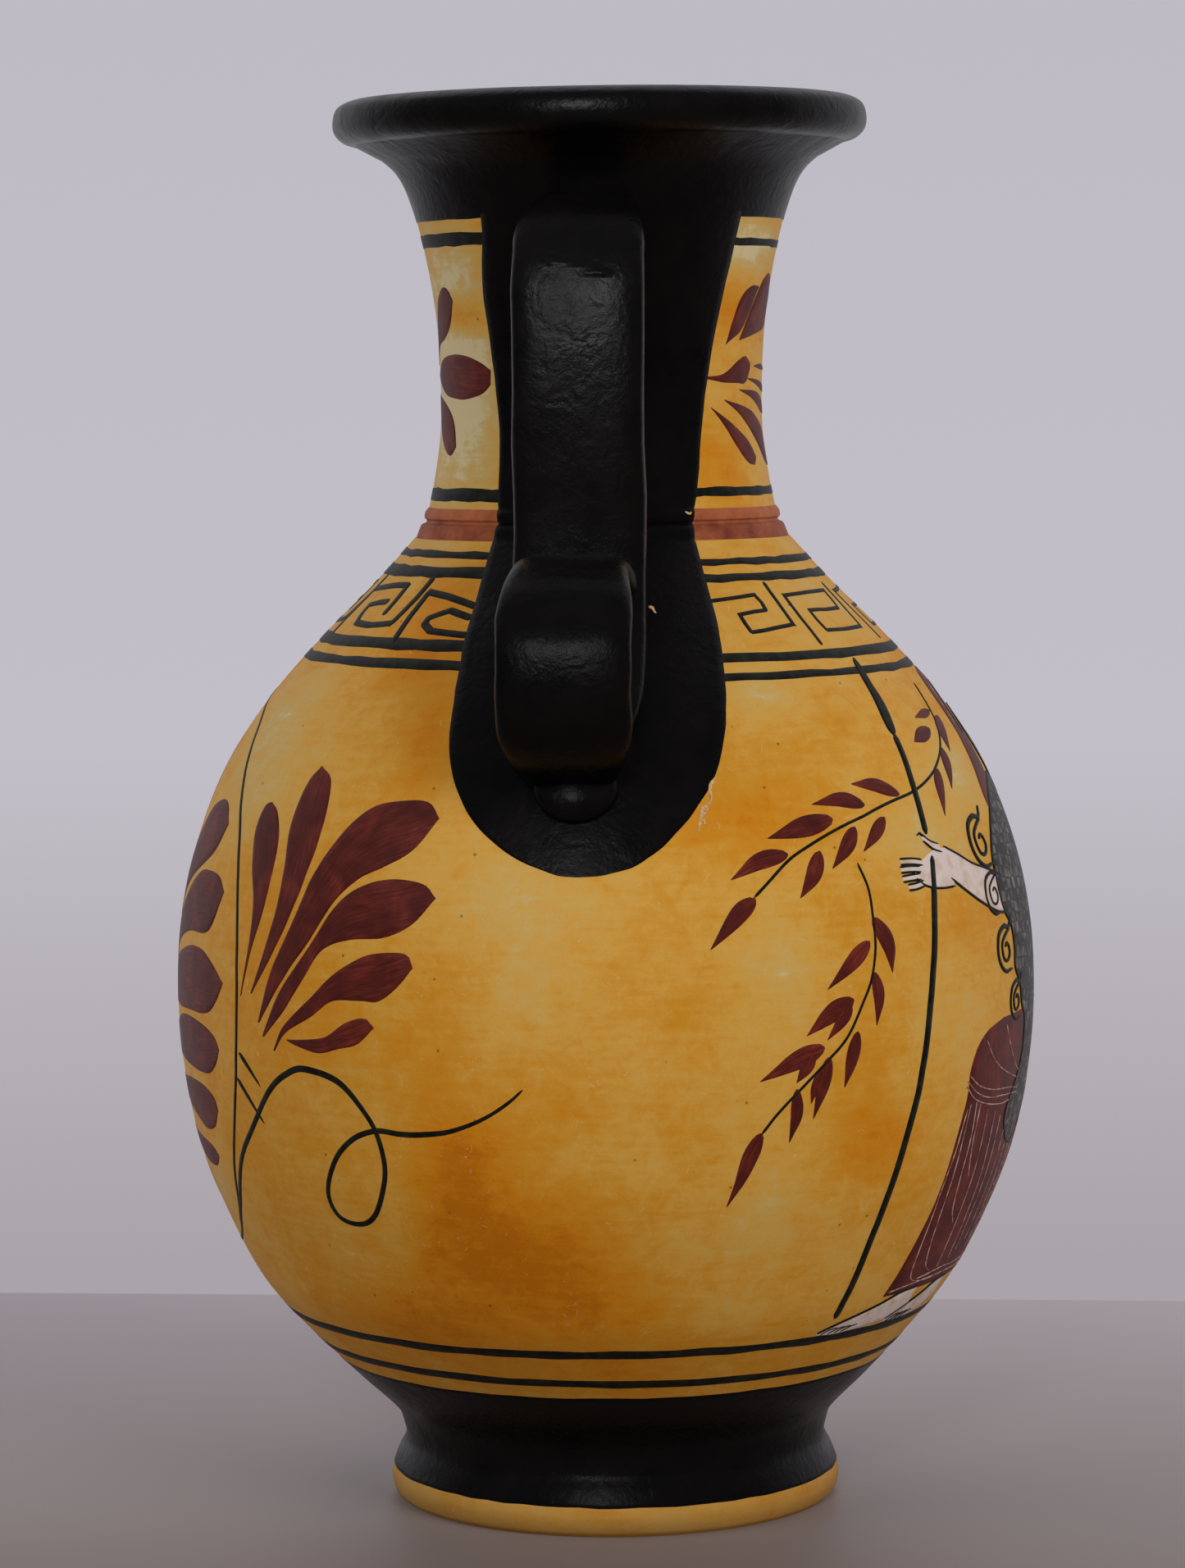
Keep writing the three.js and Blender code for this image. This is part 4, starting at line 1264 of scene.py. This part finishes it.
painted("red_dress_and_plume", red_coats, iron_red)
painted("white_flesh", white_coats, kaolin_white)
painted("scaled_cloak_and_helmet", grey_coats, grey_slip)

ink = [stroke(edge, 0.75, lift=0.22, shake=0.06, seed=160) for edge in FOREARM + FAR_FOREARM]
ink += [stroke(edge, 0.6, lift=0.22, shake=0.04, seed=161) for edge in (PALM[1], *FAR_HAND)]
for finger in FINGERS:
    for rise in (0.55, -0.55):
        edge = [(turn, level + rise) for turn, level in finger]
        ink.append(stroke(edge, 0.55, lift=0.24, shake=0.03, step=0.5, seed=163))
thumb_top = [(turn - 0.2, level + 0.75) for turn, level in THUMB] + [(51.8, 137.4)]
thumb_under = [(turn + 0.2, level - 0.8) for turn, level in THUMB]
ink.append(stroke(thumb_top, 0.6, lift=0.34, shake=0.02, seed=164))
ink.append(stroke(thumb_under, 0.45, lift=0.34, shake=0.02, seed=165))
for foot_line in (FOOT_FORE, FOOT_REAR):
    ink.append(stroke(foot_line[0], 0.6, lift=0.24, shake=0.05, seed=166))
    for toe in range(4):
        root = foot_line[1][0][0] + 0.8 + 1.5 * toe
        ink.append(stroke([(root, 41.5), (root + 1.6, 42.3), (root + 3.2, 42.6)], 0.4, lift=0.24, seed=167))
ink.append(stroke(from_head(FACE_FRONT), 0.32, lift=0.22, shake=0.0, step=0.4, seed=168))
ink.append(stroke(from_head(FACE_BACK[2:]), 0.3, lift=0.22, shake=0.0, seed=169))
for path in (BROW, UPPER_LID, MOUTH):
    ink.append(stroke(from_head(path), 0.3, lift=0.24, shake=0.0, step=0.4, seed=170))
ink.append(stroke(from_head(LOWER_LID), 0.22, lift=0.24, shake=0.0, step=0.4, seed=171))
ink.append(stroke(from_head(PUPIL), 0.55, lift=0.26, shake=0.0, step=0.2, seed=172))
ink.append(stroke(from_head(HELMET_BACK), 0.5, lift=0.26, shake=0.03, seed=173))
ink.append(stroke(from_head(HELMET_FRONT), 0.5, lift=0.26, shake=0.03, seed=174))
CREST_RIDGE = [(97.4, 161), (93.6, 163.6), (89, 163.2), (86, 160), (84.4, 154)]
ink.append(stroke(CREST_RIDGE, 0.8, lift=0.2, seed=175))
# Curls along the cloak's edge: each is an outer hook and an inner coil, in mm from its middle.
CURLS = [((67.6, 134.4), 1.0), ((67.7, 124.4), 0.82), ((69.4, 113.4), 0.9), ((72.9, 102.9), 0.78)]
HOOK = [(4.8, 6.6), (3.2, 4.6), (0.4, 4.9), (-3.2, 3.4), (-4.4, 0), (-3.2, -3), (-0.2, -4.7), (3.4, -4.4)]
COIL = [(3.2, 4.2), (0.2, 2.9), (-1.9, 1.2), (-1.4, -1.7), (0.9, -2.4), (2.4, -0.7), (1.4, 1.3), (-0.2, 0.6)]
HOOK_WIDTHS, COIL_WIDTH = [0.8, 1.1, 1.3, 1.3, 1.2, 1.2, 1.1, 0.7], 1.0
for (turn, level), scale in CURLS:
    radius = np.interp(level, LEVELS, RADII)
    for line, width in ((HOOK, HOOK_WIDTHS), (COIL, COIL_WIDTH)):
        curl = [(turn + math.degrees(scale * x / radius), level + scale * z) for x, z in line]
        for path in (curl, across_side(curl, FIGURE_TURN - 1.5)):
            ink.append(stroke(path, np.multiply(width, scale), lift=0.26, shake=0.05, step=0.5, seed=176))
ink += [stroke(CLOAK[side], 0.9, lift=0.24, shake=0.1, seed=178 + side) for side in (0, 1)]
ink.append(stroke(DRESS[1], 0.4, lift=0.2, shake=0.1, seed=181))
BOWL = [(119, 127.2), (121, 126.2), (124, 126), (127, 126.2), (129, 127.4)]
ink.append(stroke(BOWL, [0.6, 1.8, 2.4, 1.8, 0.6], lift=0.16, columns=5, seed=182))
painted("figure_outlines", ink, line_slip)

# Cream hairlines: white slip let down with iron red, matt, in lines 0.2 to 0.4 mm wide.
rose_cream, tree, shader = start_material("rose_cream_slip")
where = add_node(tree, "ShaderNodeTexCoord")
running_dry = add_node(
    tree, "ShaderNodeTexNoise", {"Vector": where.outputs["Object"], "Scale": 1 / (1.6 * MM), "Detail": 4.0},
)
tint = add_node(tree, "ShaderNodeValToRGB", {"Fac": running_dry.outputs["Fac"]})
tint.color_ramp.elements[0].position = 0.38
tint.color_ramp.elements[0].color = linear("#8a5a50")
tint.color_ramp.elements[1].position = 0.62
tint.color_ramp.elements[1].color = linear("#cbaaa0")
tree.links.new(tint.outputs["Color"], shader.inputs["Base Color"])
shader.inputs["Roughness"].default_value = 0.7
# The belt: three lines round the waist and two that slant down to it from the shoulder.
BELT = [
    [(58.9, 90.8), (62, 88.2), (66, 86.6), (72, 85.8), (77, 84.8)],
    [(58.6, 89.6), (61.4, 87), (65.4, 85.3), (71, 84.6), (77, 84.1)],
    [(58.5, 88.6), (61, 85.8), (65, 84), (70, 83.2), (74, 83.4)],
    [(63, 96.8), (65, 93.4), (67.6, 91), (71.4, 89), (76, 87)],
    [(69.2, 98.8), (71.4, 94), (74.4, 90), (77, 88)],
    [(84, 86), (90, 87), (96, 88.4), (100.2, 90.4)], [(84, 84.8), (90, 85.8), (96, 87), (100.4, 88.6)],
    [(84, 83.4), (90, 84.4), (96, 85.6), (100.5, 87)],
]
# Long folds of the skirt, from the belt to the hem.
FOLDS = [
    [(59.4, 84), (58.1, 76), (57, 68), (57, 56), (57.8, 51), (60.4, 49.4), (66, 49.2)],
    [(60.2, 85), (59.5, 78), (59, 68), (59.5, 58), (61, 52.6), (63.4, 50.8)],
    [(61.7, 85), (61.6, 78), (61.4, 70), (62.2, 64), (64.2, 60.6)],
    [(62.8, 84.4), (62.6, 75.6), (63.8, 70)],
]
for number in range(13):
    top = 65.4 + 2.6 * number + 0.5 * math.sin(3 * number)
    hem = 65.8 + 2.9 * number + 0.6 * math.sin(2 * number)
    middle = (top + hem) / 2 - 0.3
    FOLDS.append([(top, 83 - 1.1 * (number % 3)), (middle, 68), (hem, 51 + 1.3 * (number % 4))])
HEMS = [
    [(53.4, 48.4), (60, 49), (72, 49.3), (86, 48.8), (98, 49), (105.6, 48.6)],
    [(60, 49.9), (68, 50.6), (80, 50.2), (92, 50.3), (105, 49.8)],
]
PLUME_LINES = [
    [(96 - 1.6 * line, 163.6 - 0.1 * line), (92 - 1.4 * line, 165.2),
     (86 - 0.6 * line, 163.6 - line), (83 - 0.4 * line, 158 - line)]
    for line in range(3)
]
cream = []
for width, first_seed, paths in ((0.36, 190, BELT + FOLDS[:4] + HEMS), (0.22, 210, FOLDS[4:] + PLUME_LINES)):
    for number, path in enumerate(paths):
        cream.append(stroke(path, width, lift=0.18, shake=0.12, seed=first_seed + number))
painted("cream_folds", cream, rose_cream)

# Bare earthenware: the buff clay itself, matt and grainy, where a knock took the slip off.
bare_clay, tree, shader = start_material("bare_buff_earthenware")
where = add_node(tree, "ShaderNodeTexCoord")
crumbs = add_node(
    tree, "ShaderNodeTexNoise", {"Vector": where.outputs["Object"], "Scale": 1 / (0.6 * MM), "Detail": 4.0},
)
tint = add_node(tree, "ShaderNodeValToRGB", {"Fac": crumbs.outputs["Fac"]})
tint.color_ramp.elements[0].position = 0.35
tint.color_ramp.elements[0].color = linear("#c08f50")
tint.color_ramp.elements[1].position = 0.65
tint.color_ramp.elements[1].color = linear("#e0bd8a")
tree.links.new(tint.outputs["Color"], shader.inputs["Base Color"])
shader.inputs["Roughness"].default_value = 0.8
shader.inputs["Specular IOR Level"].default_value = 0.2
bump = add_node(
    tree, "ShaderNodeBump", {"Height": crumbs.outputs["Fac"], "Strength": 0.5, "Distance": 0.0002},
)
tree.links.new(bump.outputs["Normal"], shader.inputs["Normal"])

# Small chips and scratches where the slip has come off: each a path on the clay and its width.
CHIPS = [
    ([(14.2, 181), (15, 180.5), (15.4, 179.9), (16, 179.4)], [0.9, 1.3, 0.8, 0.9]),
    ([(20.6, 150), (19.4, 148.4), (19.2, 145.8), (17.8, 143.9), (18.1, 141.4)], [0.4, 0.9, 0.5, 1.0, 0.4]),
    ([(18.5, 144.7), (17.3, 142.3), (16.8, 140.2)], [0.4, 0.7, 0.3]),
    ([(31.4, 198.4), (32.4, 198), (33.4, 198.3)], 0.7),
]
chips = [stroke(path, width, lift=0.2, shake=0.3, step=0.35, seed=230) for path, width in CHIPS]
painted("worn_chips", chips, bare_clay)
